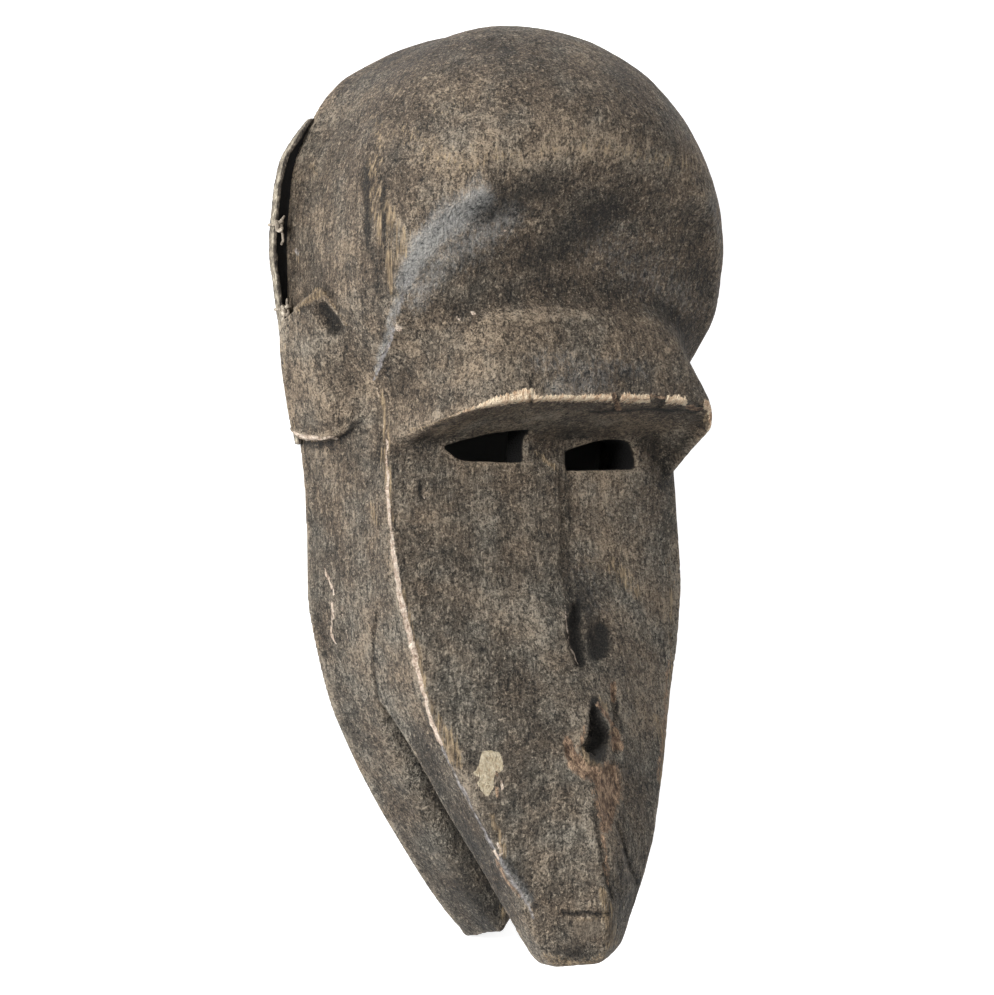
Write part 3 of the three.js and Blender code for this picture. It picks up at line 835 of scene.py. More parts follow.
def hide_strip():
    """Hide that stands up along the rim, with its foot turned in against the wood and painted
    nearly black as shadow.
    """
    step = 0.38
    x = np.arange(-112, -62, step)
    y = np.arange(STRIP_END_Y - 3, STRIP_TOP_Y + 4, step)
    z = np.arange(-0.6, 8, step)
    flat_x, flat_y = np.meshgrid(x, y, indexing="ij")
    off = (-flat_x - rim_half_width(flat_y)) / np.hypot(1, rim_slope(flat_y))
    thick = HIDE_THICKNESS * (0.86 + 0.10 * along(flat_y, 7, 41))
    middle = strip_offset(flat_y) + HIDE_THICKNESS / 2 + 0.25 * along(flat_y, 11, 42)
    top = STRIP_FLOOR + strip_height(flat_y) + 0.35 * along(flat_y, 4, 43)
    top = top + 0.25 * along(flat_y, 1.6, 44)
    ends = np.minimum(flat_y - STRIP_END_Y, STRIP_TOP_Y - flat_y)

    def raised(values):
        return values[:, :, None]

    height = z[None, None, :]
    lean = 0.09 * (height - 3)
    within = raised(thick / 2) - np.abs(raised(off - middle) - lean)
    standing = soft_min(within, raised(top) - height, STRIP_TOP_ROUND)
    standing = np.minimum(standing, height - STRIP_FLOOR)
    foot = np.minimum(raised(off) + 0.6, raised(middle - off))
    foot = np.minimum(foot, np.minimum(FOOT_TOP - height, height - STRIP_FLOOR))
    field = np.minimum(soft_max(standing, foot, 0.8), raised(ends))
    piece = roughened(
        skin_of("tied_hide_strip", field / step, (x[0], y[0], z[0]), step),
        lambda places, normals: (
            0.16 * fractal(places, 2.4, 2, seed=51) + 0.10 * noise(places, (0.8, 3.5, 0.8), seed=52)
        ),
    )
    places, normals = vertex_places(piece), vertex_normals(piece)
    # The outer side is painted paler as light, and the foot near black as shadow
    outward = -normals[:, 0] * ramp(places[:, 2], 0.5, 2.0)
    rim_gap = -places[:, 0] - rim_half_width(places[:, 1]) - strip_offset(places[:, 1])
    add_attribute(piece, "outer", outward)
    add_attribute(piece, "foot", ramp(-rim_gap, -0.4, 0.6))
    return piece


def tube_field(grid_places, path, radius):
    """Distance inside a thong that follows a path of points."""
    field = np.full(grid_places.shape[:-1], -np.inf)
    for a, b in zip(path[:-1], path[1:]):
        part = b - a
        t = np.clip(((grid_places - a) @ part) / (part @ part), 0, 1)
        apart = np.linalg.norm(grid_places - a - t[..., None] * part, axis=-1)
        field = np.maximum(field, radius - apart)
    return field


def thong(name, station, first_end, second_end):
    """A thong wound once round the strip and tied in a knot on top of it, with two loose ends."""
    step = 0.22
    station = np.array(station)
    top = STRIP_FLOOR + strip_height(station)
    x, y = outside_rim(station, strip_offset(station) + HIDE_THICKNESS / 2)
    middle = np.array([x + 0.2, y, top + KNOT_RISE])
    turn = np.linspace(0, 2 * np.pi, 41)
    knot = middle + np.stack([
        KNOT_HALF_WIDTH * (np.sin(turn) + 2 * np.sin(2 * turn)) / 3,
        KNOT_HALF_LENGTH * (np.cos(turn) - 2 * np.cos(2 * turn)) / 3,
        -np.sin(3 * turn),
    ], axis=1)
    half = HIDE_THICKNESS / 2 + WRAP_GAP
    low, high = STRIP_FLOOR + 0.7, top + 0.5
    wrap = np.array([
        (x + half, y, high), (x - half, y + 0.3, high), (x - half - 0.2, y + 0.5, (low + high) / 2),
        (x - half, y + 0.5, low), (x + half, y + 0.3, low), (x + half, y, high),
    ])
    box_low = middle - BOX_BELOW
    axes = [np.arange(start, start + size, step) for start, size in zip(box_low, BOX_SIZE)]
    places = np.stack(np.meshgrid(*axes, indexing="ij"), axis=-1)
    field = tube_field(places, knot, KNOT_RADIUS)
    field = np.maximum(field, tube_field(places, wrap, THONG_RADIUS))
    for end in (first_end, second_end):
        field = soft_max(field, tube_field(places, middle + np.array(end), THONG_RADIUS), 0.2)
    field = np.minimum(field, places[..., 2] - THONG_FLOOR)
    piece = skin_of(name, field / step, box_low, step)
    return roughened(piece, lambda places, normals: 0.12 * fractal(places, 1.1, 2, seed=61))


# colour, wear, and painted light and shade, by place
# Marks with an edge, by their places in the photograph: strength, and then (u, v, width) in pixels
# for each station. A weaker mark is narrower and more broken.
PALE_MARKS = [
    (0.6, (376, 385, 3), (381, 412, 3), (386, 440, 3)),
    (0.85, (386, 440, 3), (387, 460, 3), (388, 505, 4), (393, 553, 4)),
    (1.0, (393, 553, 4), (400, 596, 5), (408, 628, 6), (418, 672, 5)),
    (0.95, (418, 672, 5), (430, 716, 4), (441, 744, 4)),
    (0.9, (500, 779, 4), (503, 789, 4)),
    (0.85, (325, 567, 3), (329, 580, 4), (334, 596, 3)),
    (0.85, (331, 600, 3), (333, 618, 4), (331, 634, 3), (335, 645, 3)),
    (0.7, (342, 606, 3), (343, 616, 3)),
    (0.7, (346, 628, 3), (349, 640, 3)),
    (0.85, (497, 843, 4), (503, 851, 4), (498, 859, 4), (494, 851, 4)),
    (0.8, (293, 433, 5), (308, 438, 8), (320, 439, 5)),
    (0.7, (320, 439, 5), (337, 438, 4)),
    # Small pale spots: painted glints and dust
    (0.9, (472, 312, 5), (474, 314, 5)),
    (0.8, (458, 318, 4), (460, 320, 4)),
    (0.8, (505, 230, 4), (507, 232, 4)),
    (1.0, (397, 327, 6), (399, 330, 5)),
    (0.7, (607, 297, 4), (609, 299, 4)),
    (0.7, (697, 277, 4), (699, 279, 4)),
    (0.7, (422, 494, 4), (424, 502, 4)),
    # A painted highlight along the crest of the nose, left of the nostril
    (0.65, (563, 590, 3), (566, 620, 3), (569, 645, 4), (577, 664, 3)),
]
# Whitish lines: a painted highlight along the forehead's left crease, and pale wear with a painted
# sheen along the lower edge of the snout
SHEEN_AND_WORN_EDGE_MARKS = [
    (0.6, (408, 280, 12), (400, 300, 10), (393, 330, 7)),
    (0.95, (394, 326, 5), (387, 350, 4), (374, 381, 3)),
    (0.75, (441, 744, 4), (452, 770, 4), (470, 803, 4), (486, 836, 4)),
    (0.7, (486, 836, 5), (505, 868, 7), (522, 896, 7), (534, 918, 6)),
    (0.8, (296, 249, 5), (298, 256, 5)),
]
TAN_MARKS = [
    (0.55, (376, 116, 16), (380, 150, 20), (374, 168, 14)),
    (0.72, (372, 164, 16), (376, 205, 16), (380, 244, 12)),
    (0.85, (386, 206, 12), (392, 228, 22), (402, 250, 14)),
    (0.9, (389, 256, 12), (391, 292, 7)),
    (0.6, (404, 236, 12), (420, 228, 12)),
    (0.45, (400, 130, 40), (440, 158, 60), (480, 162, 60), (520, 152, 40)),
    (0.45, (540, 148, 34), (610, 148, 40), (690, 166, 32)),
    (0.3, (430, 110, 50), (500, 96, 50)),
    (0.6, (313, 165, 12), (316, 178, 12)),
    (0.7, (295, 250, 8), (298, 260, 8)),
    (1.1, (298, 308, 5), (310, 298, 6), (318, 293, 7), (324, 293, 5)),
    (0.8, (326, 297, 3), (336, 309, 2.5), (347, 325, 2.5)),
    (0.75, (380, 390, 8), (384, 420, 10), (386, 450, 9)),
    (0.75, (384, 450, 10), (390, 500, 11), (392, 520, 8)),
    (0.85, (402, 590, 7), (413, 636, 10), (424, 684, 8)),
    (0.85, (428, 695, 8), (440, 730, 9), (450, 755, 10)),
    (0.55, (372, 505, 14), (378, 525, 12)),
    (1.0, (447, 732, 10), (452, 748, 13), (457, 765, 9)),
    (0.85, (493, 817, 8), (499, 838, 8), (505, 858, 7)),
    (0.6, (612, 563, 22), (626, 580, 28), (640, 600, 18)),
    (0.8, (657, 717, 8), (665, 750, 9), (660, 783, 7)),
    (0.6, (668, 560, 8), (672, 620, 9), (670, 680, 8)),
    (0.95, (602, 892, 8), (609, 910, 12), (611, 942, 12)),
    (0.9, (545, 958, 10), (575, 966, 12), (604, 960, 12)),
    (0.65, (500, 905, 8), (512, 930, 10), (524, 948, 9)),
    (0.6, (574, 920, 8), (600, 920, 8)),
    (1.15, (706, 404, 7), (711, 410, 9), (709, 420, 6)),
    (0.6, (287, 320, 4), (285, 363, 4), (288, 403, 4), (294, 430, 6)),
    (0.8, (300, 436, 8), (318, 441, 6)),
    (0.7, (536, 452, 5), (550, 464, 7), (562, 472, 5)),
    (0.75, (410, 431, 3), (432, 424, 3), (454, 417, 5)),
    (0.8, (600, 700, 7), (608, 712, 7)),
    (1.0, (581, 750, 7), (591, 762, 10), (602, 771, 8)),
    (0.9, (588, 764, 10), (600, 770, 8)),
]
RAW_MARKS = [
    (1.0, (566, 740, 8), (571, 756, 13), (582, 770, 15), (600, 778, 14)),
    (0.95, (608, 774, 24), (608, 790, 28), (607, 812, 20), (606, 828, 12)),
    (0.6, (602, 828, 10), (604, 850, 9), (609, 872, 7)),
    (1.05, (615, 732, 9), (617, 746, 10)),
    (0.8, (596, 704, 6), (605, 713, 7), (612, 724, 6)),
    (0.95, (613, 684, 6), (613, 700, 6)),
    (0.7, (580, 744, 8), (585, 726, 7)),
    (0.6, (603, 862, 8), (609, 884, 8)),
    (0.8, (495, 770, 4), (499, 800, 4)),
    (0.65, (495, 860, 7), (507, 880, 8), (520, 896, 7)),
    (0.5, (668, 560, 7), (676, 590, 7)),
    (0.6, (668, 660, 7), (665, 720, 9), (657, 780, 8)),
    (0.55, (620, 398, 7), (634, 400, 8), (650, 399, 7)),
    (0.6, (596, 402, 4), (600, 396, 4)),
    (0.9, (613, 394, 5), (619, 408, 6)),
    (0.65, (650, 395, 6), (665, 397, 6)),
    (0.9, (688, 407, 4), (702, 409, 4)),
]
MARKS = {"pale": PALE_MARKS, "sheen_and_worn_edge": SHEEN_AND_WORN_EDGE_MARKS, "tan": TAN_MARKS, "raw": RAW_MARKS}
# Marks that are an area: their outline in pixels of the photograph
CREAM_PATCH = [
    (484, 750), (492, 751), (500, 752), (502, 758), (504, 766), (504, 771), (500, 773), (497, 770),
    (494, 777), (494, 787), (491, 793), (487, 798), (485, 795), (482, 793), (479, 786), (475, 785),
    (479, 780), (480, 775), (475, 777), (472, 771), (478, 769), (479, 761), (481, 754),
]
TIP_PANEL = [(573, 920), (602, 919), (601, 938), (574, 939)]
# Shades that fade out evenly, in the same way: a painted sheen, painted shade mixed with dark dirt,
# and painted light mixed with lighter tone
# Painted sheen: pale grey-blue reflected light, strongest along the forehead's left crease
PAINTED_SHEEN_SHADES = [
    (0.7, (398, 300, 14), (388, 332, 12), (376, 374, 8)),
    (0.95, (404, 284, 26), (420, 252, 42), (446, 224, 54), (480, 200, 46)),
    (0.5, (416, 300, 40), (440, 262, 56), (480, 236, 60), (510, 214, 50)),
    (0.4, (464, 196, 22), (478, 176, 18)),
    (0.2, (585, 575, 60), (590, 606, 50)),
    (0.6, (500, 860, 22), (530, 900, 18)),
    (0.35, (600, 376, 60), (560, 386, 50)),
    (0.3, (540, 360, 40), (640, 372, 40)),
    (0.3, (712, 196, 20), (722, 240, 20)),
    (0.25, (600, 240, 90), (680, 300, 90)),
]
# Painted shade mixed with dark dirt: the forehead's hollow, the gap of the mouth, the nostrils, the
# hole in the nose, the ear's hollow and the grooves are darkened as painted shade; the cracks and
# streaks are dark dirt
PAINTED_SHADE_AND_DIRT = [
    (0.2, (430, 60, 90), (520, 44, 80), (620, 70, 90)),
    (0.25, (470, 100, 60), (560, 96, 60), (650, 120, 70)),
    (0.3, (400, 110, 60), (440, 130, 50)),
    (0.7, (486, 214, 54), (508, 200, 74), (548, 188, 66)),
    (0.75, (524, 262, 50), (556, 250, 80), (584, 230, 76), (610, 210, 60)),
    (0.35, (470, 260, 110), (520, 250, 120), (600, 262, 130), (690, 250, 110)),
    (0.5, (430, 304, 34), (464, 308, 34)),
    (0.5, (440, 292, 50), (466, 262, 60), (530, 240, 60)),
    (0.3, (500, 262, 60), (540, 285, 70), (620, 292, 70)),
    (0.5, (410, 312, 26), (470, 292, 30), (560, 280, 30), (640, 286, 30), (690, 330, 20)),
    (1.2, (578, 600, 10), (574, 624, 24), (577, 646, 24), (581, 664, 12)),
    (1.2, (600, 630, 26), (601, 640, 34), (598, 652, 26)),
    (0.75, (582, 596, 54), (590, 650, 54)),
    (1.3, (594, 700, 12), (597, 718, 24), (600, 736, 38), (596, 752, 34)),
    (0.2, (556, 474, 24), (560, 530, 24), (564, 600, 16)),
    (0.5, (468, 640, 20), (480, 646, 18)),
    (0.4, (456, 562, 26), (476, 572, 28)),
    (0.3, (500, 680, 50), (530, 700, 60), (545, 720, 50)),
    (0.9, (562, 912, 7), (608, 914, 7)),
    (0.7, (560, 952, 24), (584, 956, 26)),
    (0.8, (322, 306, 18), (334, 320, 22), (330, 332, 16)),
    (0.8, (344, 436, 10), (352, 424, 10)),
    (0.9, (300, 443, 8), (330, 444, 7)),
    (1.1, (420, 480, 6), (420, 497, 5)),
    (0.7, (503, 858, 18), (522, 880, 18), (537, 906, 14)),
    (0.45, (560, 384, 44), (600, 376, 46), (640, 372, 40)),
    (0.6, (376, 612, 6), (373, 645, 8), (378, 699, 8)),
    (0.6, (415, 740, 22), (440, 790, 44), (478, 862, 48), (500, 905, 40)),
    (0.7, (460, 880, 60), (490, 920, 60)),
    (0.6, (596, 804, 12), (602, 850, 12), (612, 897, 12)),
    (0.6, (618, 823, 10), (627, 855, 10), (638, 884, 8)),
    (0.8, (616, 700, 7), (619, 720, 7), (623, 732, 6)),
    (0.7, (617, 396, 6), (616, 410, 8)),
    (0.5, (653, 394, 12), (664, 396, 12), (662, 406, 8)),
    (0.5, (690, 397, 12), (702, 402, 12), (704, 410, 6)),
    (0.9, (590, 412, 5), (620, 411, 6), (650, 409, 6), (700, 412, 6)),
    (1.0, (532, 374, 4), (532, 404, 5)),
    (0.6, (370, 400, 8), (378, 430, 10), (380, 460, 8)),
    (0.4, (392, 520, 10), (402, 570, 12), (410, 640, 14)),
    (0.35, (440, 640, 12), (450, 700, 18), (470, 760, 20)),
    (0.85, (366, 168, 10), (367, 200, 12), (368, 246, 10)),
    (0.85, (383, 186, 9), (384, 216, 10), (385, 244, 9)),
    (0.6, (374, 246, 12), (378, 290, 14), (384, 340, 12)),
    (0.5, (364, 286, 10), (366, 350, 10)),
    (0.3, (296, 136, 16), (292, 160, 16)),
    (0.3, (700, 416, 24), (676, 458, 20)),
    (0.3, (620, 840, 24), (636, 780, 24)),
    (0.3, (660, 480, 20), (668, 560, 20)),
]
# Painted light mixed with lighter tone: the brow's cushion, the ear and temple, the right of the
# face and the brow's underside are lightened as painted light; the band across the top of the crown
# is the patina's lighter tone
PAINTED_LIGHT_AND_TONE = [
    (1.1, (400, 350, 60), (440, 345, 90), (480, 340, 70)),
    (1.1, (404, 350, 26), (450, 324, 26), (520, 314, 24), (590, 314, 22)),
    (1.0, (430, 376, 50), (470, 372, 60), (520, 350, 60)),
    (0.6, (380, 400, 40), (400, 420, 50), (430, 410, 40)),
    (1.1, (310, 340, 70), (322, 400, 80)),
    (0.55, (360, 340, 50), (366, 400, 60)),
    (0.2, (340, 230, 70), (345, 300, 60)),
    (0.3, (330, 460, 70), (340, 560, 80), (345, 700, 80), (385, 790, 60)),
    (0.6, (578, 928, 30), (598, 928, 30)),
    (0.2, (440, 640, 50), (470, 720, 60), (500, 790, 50)),
    (1.0, (600, 480, 120), (640, 560, 120), (650, 700, 80)),
    (0.32, (520, 470, 300), (540, 640, 260), (560, 820, 160)),
    (0.55, (480, 350, 60), (560, 350, 60), (640, 350, 50)),
    (0.5, (530, 700, 70), (550, 790, 70)),
    (0.3, (390, 200, 30), (400, 250, 30)),
    (0.7, (400, 140, 70), (450, 160, 90), (510, 160, 60)),
    (0.5, (530, 150, 44), (620, 148, 44), (690, 170, 36)),
    (0.7, (450, 216, 36), (462, 214, 36)),
    (1.0, (440, 432, 16), (500, 424, 24), (560, 420, 34), (640, 425, 44), (690, 430, 40)),
    (0.6, (544, 436, 40), (546, 470, 40)),
]
SHADES = {"painted_sheen": PAINTED_SHEEN_SHADES, "dark": PAINTED_SHADE_AND_DIRT, "light": PAINTED_LIGHT_AND_TONE}
# The cut edge of the brow: how high it is, in millimetres, at each pixel column of the photograph
brow_band_height = profile(
    (440, 0.2), (453, 1.0), (480, 2.9), (520, 5.8), (533, 6.4), (536, 2.7), (560, 3.0), (590, 3.0),
    (611, 4.0), (614, 0.3), (619, 0.3), (622, 4.0), (649, 4.0), (652, -1), (664, -1), (667, 4.0),
    (686, 4.0), (689, -1), (702, -1), (705, 4.5), (713, 4.5),
)
BAND_BELOW_EDGE = 1.7
BAND_LOWEST_Z = 90
# What the finish reads where a kind of mark isn't
NO_MARK = -1.5
FAR_OUTSIDE = -9.0
OFF_BAND = -6
AREA_REACH = 60


def brow_band(places, u):
    """How far inside the cut edge of the brow a place is, in millimetres; negative outside it."""
    x, y, z = places.T
    above = y - brow_edge(x) + BAND_BELOW_EDGE
    return np.where(z > BAND_LOWEST_Z, np.minimum(above, brow_band_height(u) - above), OFF_BAND)


def colour_marks(piece):
    """Gives the carving the attributes that its finish reads."""
    places, normals = vertex_places(piece), vertex_normals(piece)
    edges = edge_list(piece)
    u, v = photo_place(places)
    seen = shown(places, normals)
    wander_u = u + 1.5 * noise(places, 4.0, seed=71)
    wander_v = v + 1.5 * noise(places, 4.0, seed=72)
    for kind, strokes in MARKS.items():
        amount = np.full(len(places), NO_MARK)
        for strength, *stations in strokes:
            amount = np.maximum(amount, stroke(wander_u, wander_v, stations) / 2 + strength - 0.5)
        add_attribute(piece, kind, mix(NO_MARK, amount, seen))
    outlines = {"cream": CREAM_PATCH, "panel": TIP_PANEL}
    for kind, outline in outlines.items():
        near = np.maximum(np.abs(u - outline[0][0]), np.abs(v - outline[0][1])) < AREA_REACH
        inner = np.full(len(places), FAR_OUTSIDE)
        inner[near] = inside_distance(np.array(outline, float), u[near], v[near])
        add_attribute(piece, kind, mix(FAR_OUTSIDE, inner, seen))
    for kind, strokes in SHADES.items():
        amount = np.zeros(len(places))
        for strength, *stations in strokes:
            faded = ramp(stroke(wander_u, wander_v, stations), -0.2, 1.0)
            amount = np.maximum(amount, strength * faded)
        add_attribute(piece, kind, amount * seen)
    add_attribute(piece, "band", mix(OFF_BAND, brow_band(places, u), seen))

    # Raised edges wear, and dirt gathers in hollows
    shape = smoothed(places, edges, 3)
    wide_shape = smoothed(shape, edges, 14)
    bulge = ((shape - wide_shape) * normals).sum(1)
    worn = smoothed(bulge, edges, 2)[:, 0]
    add_attribute(piece, "worn", np.clip(worn / 0.5, -1, 1))
    # Where the hollow behind the face is, which the finish paints dark as shade
    inside = ramp(room_depth(places), -4.5, -2.0)
    add_attribute(piece, "inside", inside)
    add_attribute(piece, "hole", eye_wall(places))
    add_attribute(piece, "grey", ramp(places[:, 1], 60, -80) * 0.4)


def eye_wall(places):
    """1 on the walls of the eye holes, which the finish paints nearly black as shade."""
    x, y, z = places.T
    return ramp(inside_eyes(x, y), -2.2, -0.8) * ramp(face_height(x, y) - z, 0.8, 2.4)


# materials
class Finish:
    """A material, built one node at a time. Sizes are in millimetres."""

    def __init__(self, name):
        self.material = bpy.data.materials.new(name)
        self.material.use_nodes = True
        self.tree = self.material.node_tree
        self.shader = self.tree.nodes["Principled BSDF"]
        self.places = self.add("ShaderNodeTexCoord").outputs["Object"]

    def add(self, kind, inputs=(), **settings):
        node = self.tree.nodes.new(kind)
        for key, value in settings.items():
            setattr(node, key, value)
        for key, value in dict(inputs).items():
            self.feed(node.inputs[key], value)
        return node

    def feed(self, socket, value):
        """Links an output to a socket, or sets the socket's own value."""
        if isinstance(value, bpy.types.NodeSocket):
            self.tree.links.new(value, socket)
        else:
            socket.default_value = value

    def math(self, operation, *values):
        node = self.add("ShaderNodeMath", operation=operation)
        for socket, value in zip(node.inputs, values):
            self.feed(socket, value)
        return node.outputs[0]

    def total(self, *parts):
        """The sum of value times weight over (value, weight) pairs."""
        result = 0.0
        for value, weight in parts:
            result = self.math("MULTIPLY_ADD", value, weight, result)
        return result

    def stretched(self, x, y, z):
        """The places scaled along each axis; a small scale draws a noise out along that axis."""
        inputs = {0: self.places, 1: (x, y, z)}
        return self.add("ShaderNodeVectorMath", operation="MULTIPLY", inputs=inputs).outputs[0]

    def noise(self, size, detail=3.0, roughness=0.55, places=None):
        node = self.add("ShaderNodeTexNoise", inputs={
            "Vector": places or self.places, "Scale": 1000 / size, "Detail": detail,
            "Roughness": roughness,
        })
        return node.outputs["Fac"]

    def threads(self, noise, width):
        """1 on the thin lines that wander where a noise is at its middle value, 0 off them."""
        from_middle = self.math("ABSOLUTE", self.math("SUBTRACT", noise, 0.5))
        return self.between(from_middle, width, 0.0)

    def between(self, value, low, high):
        """0 at `low`, 1 at `high`, and an even curve between them."""
        node = self.add("ShaderNodeMapRange", interpolation_type="SMOOTHSTEP", inputs={
            "Value": value, "From Min": low, "From Max": high,
        })
        return node.outputs["Result"]

    def blend(self, factor, first, second, share=1.0):
        """The second colour over the first, where the factor is 1, and at most by `share`."""
        if share < 1:
            factor = self.math("MULTIPLY", factor, share)
        node = self.add("ShaderNodeMix", data_type="RGBA")
        self.feed(node.inputs[0], factor)
        for socket, colour in ((node.inputs[6], first), (node.inputs[7], second)):
            self.feed(socket, (*colour, 1) if isinstance(colour, tuple) else colour)
        return node.outputs[2]

    def shades(self, value, *stops):
        """A colour for every value, from (value, colour) stops."""
        node = self.add("ShaderNodeValToRGB", inputs={"Fac": value})
        elements = node.color_ramp.elements
        while len(elements) < len(stops):
            elements.new(0.5)
        for element, (place, colour) in zip(elements, stops):
            element.position = place
            element.color = (*colour, 1)
        return node.outputs["Color"]

    def attribute(self, name):
        return self.add("ShaderNodeAttribute", attribute_name=name).outputs["Fac"]

    def bump(self, height, distance, strength=1.0):
        node = self.add("ShaderNodeBump", inputs={
            "Height": height, "Distance": distance * MM, "Strength": strength,
        })
        self.feed(self.shader.inputs["Normal"], node.outputs["Normal"])


def patinated_wood():
    """Dark matte patina: grit, cracks, grain along the mask, and marks where the wood shows."""
    f = Finish("patinated_wood")
    broad = f.noise(48, detail=2)
    patches = f.noise(15, detail=3, roughness=0.5)
    blotches = f.noise(5.5, detail=3, roughness=0.6)
    fine = f.noise(2.3, detail=3, roughness=0.72)
    grit = f.noise(1.0, detail=2, roughness=0.8)
    streaks = f.noise(1.3, detail=3, roughness=0.65, places=f.stretched(1, 0.08, 1))
    grain = f.noise(4.0, detail=5, roughness=0.65, places=f.stretched(1, 0.05, 1))
    ragged = f.noise(2.0, detail=4, roughness=0.8, places=f.stretched(1, 0.45, 1))
    flaky = f.noise(9, detail=6, roughness=0.72, places=f.stretched(1, 0.6, 1))
    flakes = f.between(flaky, 0.475, 0.51)
    fissures = f.threads(f.noise(10, detail=5, roughness=0.6, places=f.stretched(1, 0.5, 1)), 0.030)
    fissures = f.math("MULTIPLY", fissures, f.between(blotches, 0.44, 0.56))
    net = f.threads(f.noise(4.0, detail=2, roughness=0.5), 0.060)
    net = f.math("MULTIPLY", net, f.between(ragged, 0.44, 0.58))
    scratchy = f.noise(3.4, detail=2, roughness=0.5, places=f.stretched(1, 0.55, 1))
    scratches = f.threads(scratchy, 0.055)
    scratches = f.math("MULTIPLY", scratches, f.between(fine, 0.50, 0.60))

    value = f.total(
        (1.0, -1.095), (broad, 0.55), (patches, 0.30), (blotches, 0.29), (fine, 0.58), (grit, 0.80),
        (streaks, 0.58), (grain, 0.34), (flakes, 0.05), (scratches, 0.27), (net, -0.30),
        (f.attribute("worn"), 0.24),
        # The light and dark attributes paint light and shade into the colour, mixed with the
        # patina's own lighter tone and dark dirt
        (f.attribute("light"), 0.16), (f.attribute("dark"), -0.24),
    )
    brown = f.shades(
        value,
        (0.10, (0.0056, 0.0042, 0.0030)), (0.32, (0.022, 0.0162, 0.0110)),
        (0.52, (0.067, 0.0495, 0.0342)), (0.72, (0.142, 0.107, 0.075)),
        (0.95, (0.34, 0.265, 0.185)),
    )
    grey = f.shades(
        value,
        (0.10, (0.0052, 0.0046, 0.0037)), (0.32, (0.021, 0.0184, 0.0142)),
        (0.52, (0.063, 0.0555, 0.0435)), (0.72, (0.135, 0.120, 0.096)), (0.95, (0.34, 0.30, 0.24)),
    )
    drift = f.noise(20, detail=5, roughness=0.6)
    greyness = f.total((f.attribute("grey"), 1.0), (drift, 3.0), (1.0, -1.35))
    colour = f.blend(f.math("MAXIMUM", f.math("MINIMUM", greyness, 1.0), 0.0), brown, grey)
    specks, pits = f.between(grit, 0.62, 0.70), f.between(grit, 0.40, 0.33)
    colour = f.blend(fissures, colour, (0.009, 0.0075, 0.0055), share=0.7)
    colour = f.blend(specks, colour, (0.36, 0.31, 0.235), share=0.6)
    colour = f.blend(pits, colour, (0.007, 0.0058, 0.0045), share=0.65)

    def mark(name, low, high, noise, noisy):
        """1 well inside a kind of mark, with an edge broken up by a noise."""
        edge = f.total((f.attribute(name), 1.0), (noise, noisy), (1.0, -noisy / 2))
        return f.between(edge, low, high)

    tan = f.shades(
        streaks,
        (0.36, (0.045, 0.032, 0.020)), (0.5, (0.19, 0.135, 0.080)), (0.64, (0.44, 0.33, 0.20)),
    )
    pale = f.shades(
        fine, (0.30, (0.26, 0.18, 0.13)), (0.46, (0.58, 0.45, 0.35)), (0.60, (0.82, 0.70, 0.58)),
    )
    cream = f.shades(
        fine, (0.34, (0.34, 0.265, 0.17)), (0.5, (0.49, 0.41, 0.285)), (0.64, (0.60, 0.52, 0.38)),
    )
    raw = f.shades(
        ragged,
        (0.34, (0.026, 0.0155, 0.011)), (0.48, (0.165, 0.104, 0.068)), (0.62, (0.48, 0.33, 0.215)),
    )
    # The colour of the painted sheen
    painted_sheen_colour = f.shades(
        value,
        (0.2, (0.030, 0.031, 0.031)), (0.5, (0.22, 0.22, 0.212)), (0.85, (0.42, 0.415, 0.395)),
    )
    # Whitish grey for painted highlight and pale wear
    sheen_and_worn_edge = f.shades(
        fine, (0.34, (0.12, 0.108, 0.104)), (0.5, (0.31, 0.29, 0.285)), (0.66, (0.54, 0.51, 0.50)),
    )
    end_grain = f.noise(2.6, detail=4, roughness=0.8, places=f.stretched(1, 0.3, 0.3))
    cut = f.shades(
        end_grain,
        (0.32, (0.17, 0.080, 0.050)), (0.41, (0.68, 0.45, 0.28)), (0.55, (0.97, 0.79, 0.57)),
    )
    # Near black for painted shade in recesses, and for dark dirt
    shade_and_dirt_black = f.shades(grit, (0.36, (0.0035, 0.0033, 0.003)), (0.66, (0.024, 0.021, 0.017)))
    # Painted sheen laid over the patina, with a ragged edge
    painted_sheen_amount = f.total((f.attribute("painted_sheen"), 1.0), (ragged, 1.4), (1.0, -0.7))
    colour = f.blend(f.between(painted_sheen_amount, 0.05, 0.95), colour, painted_sheen_colour, share=0.8)
    stringy = f.total((streaks, 0.6), (ragged, 0.4))
    colour = f.blend(mark("tan", 0.34, 0.84, stringy, 3.2), colour, tan, share=0.8)
    band_edge = f.total((f.attribute("band"), 1.0), (ragged, 6.0), (1.0, -3.0))
    colour = f.blend(f.between(band_edge, -0.2, 0.5), colour, cut)
    # Strong painted shade and dark dirt, near black
    colour = f.blend(mark("dark", 0.35, 1.0, ragged, 0.5), colour, shade_and_dirt_black, share=0.88)
    colour = f.blend(mark("raw", 0.36, 0.62, ragged, 1.1), colour, raw)
    # Painted highlight and pale wear along edges
    colour = f.blend(mark("sheen_and_worn_edge", 0.36, 0.7, ragged, 1.0), colour, sheen_and_worn_edge, share=0.8)
    colour = f.blend(mark("pale", 0.40, 0.62, ragged, 1.0), colour, pale)
    colour = f.blend(mark("cream", -0.1, 0.5, ragged, 5.0), colour, cream)
    on_panel = mark("panel", -0.5, 1.0, ragged, 3.0)
    colour = f.blend(on_panel, colour, (0.125, 0.098, 0.072), share=0.6)
    # Painted shade: the inside of the hollow behind the face, where little light reaches, nearly
    # black
    inner = f.shades(value, (0.3, (0.004, 0.0032, 0.0024)), (0.7, (0.030, 0.023, 0.016)))
    colour = f.blend(f.attribute("inside"), colour, inner)
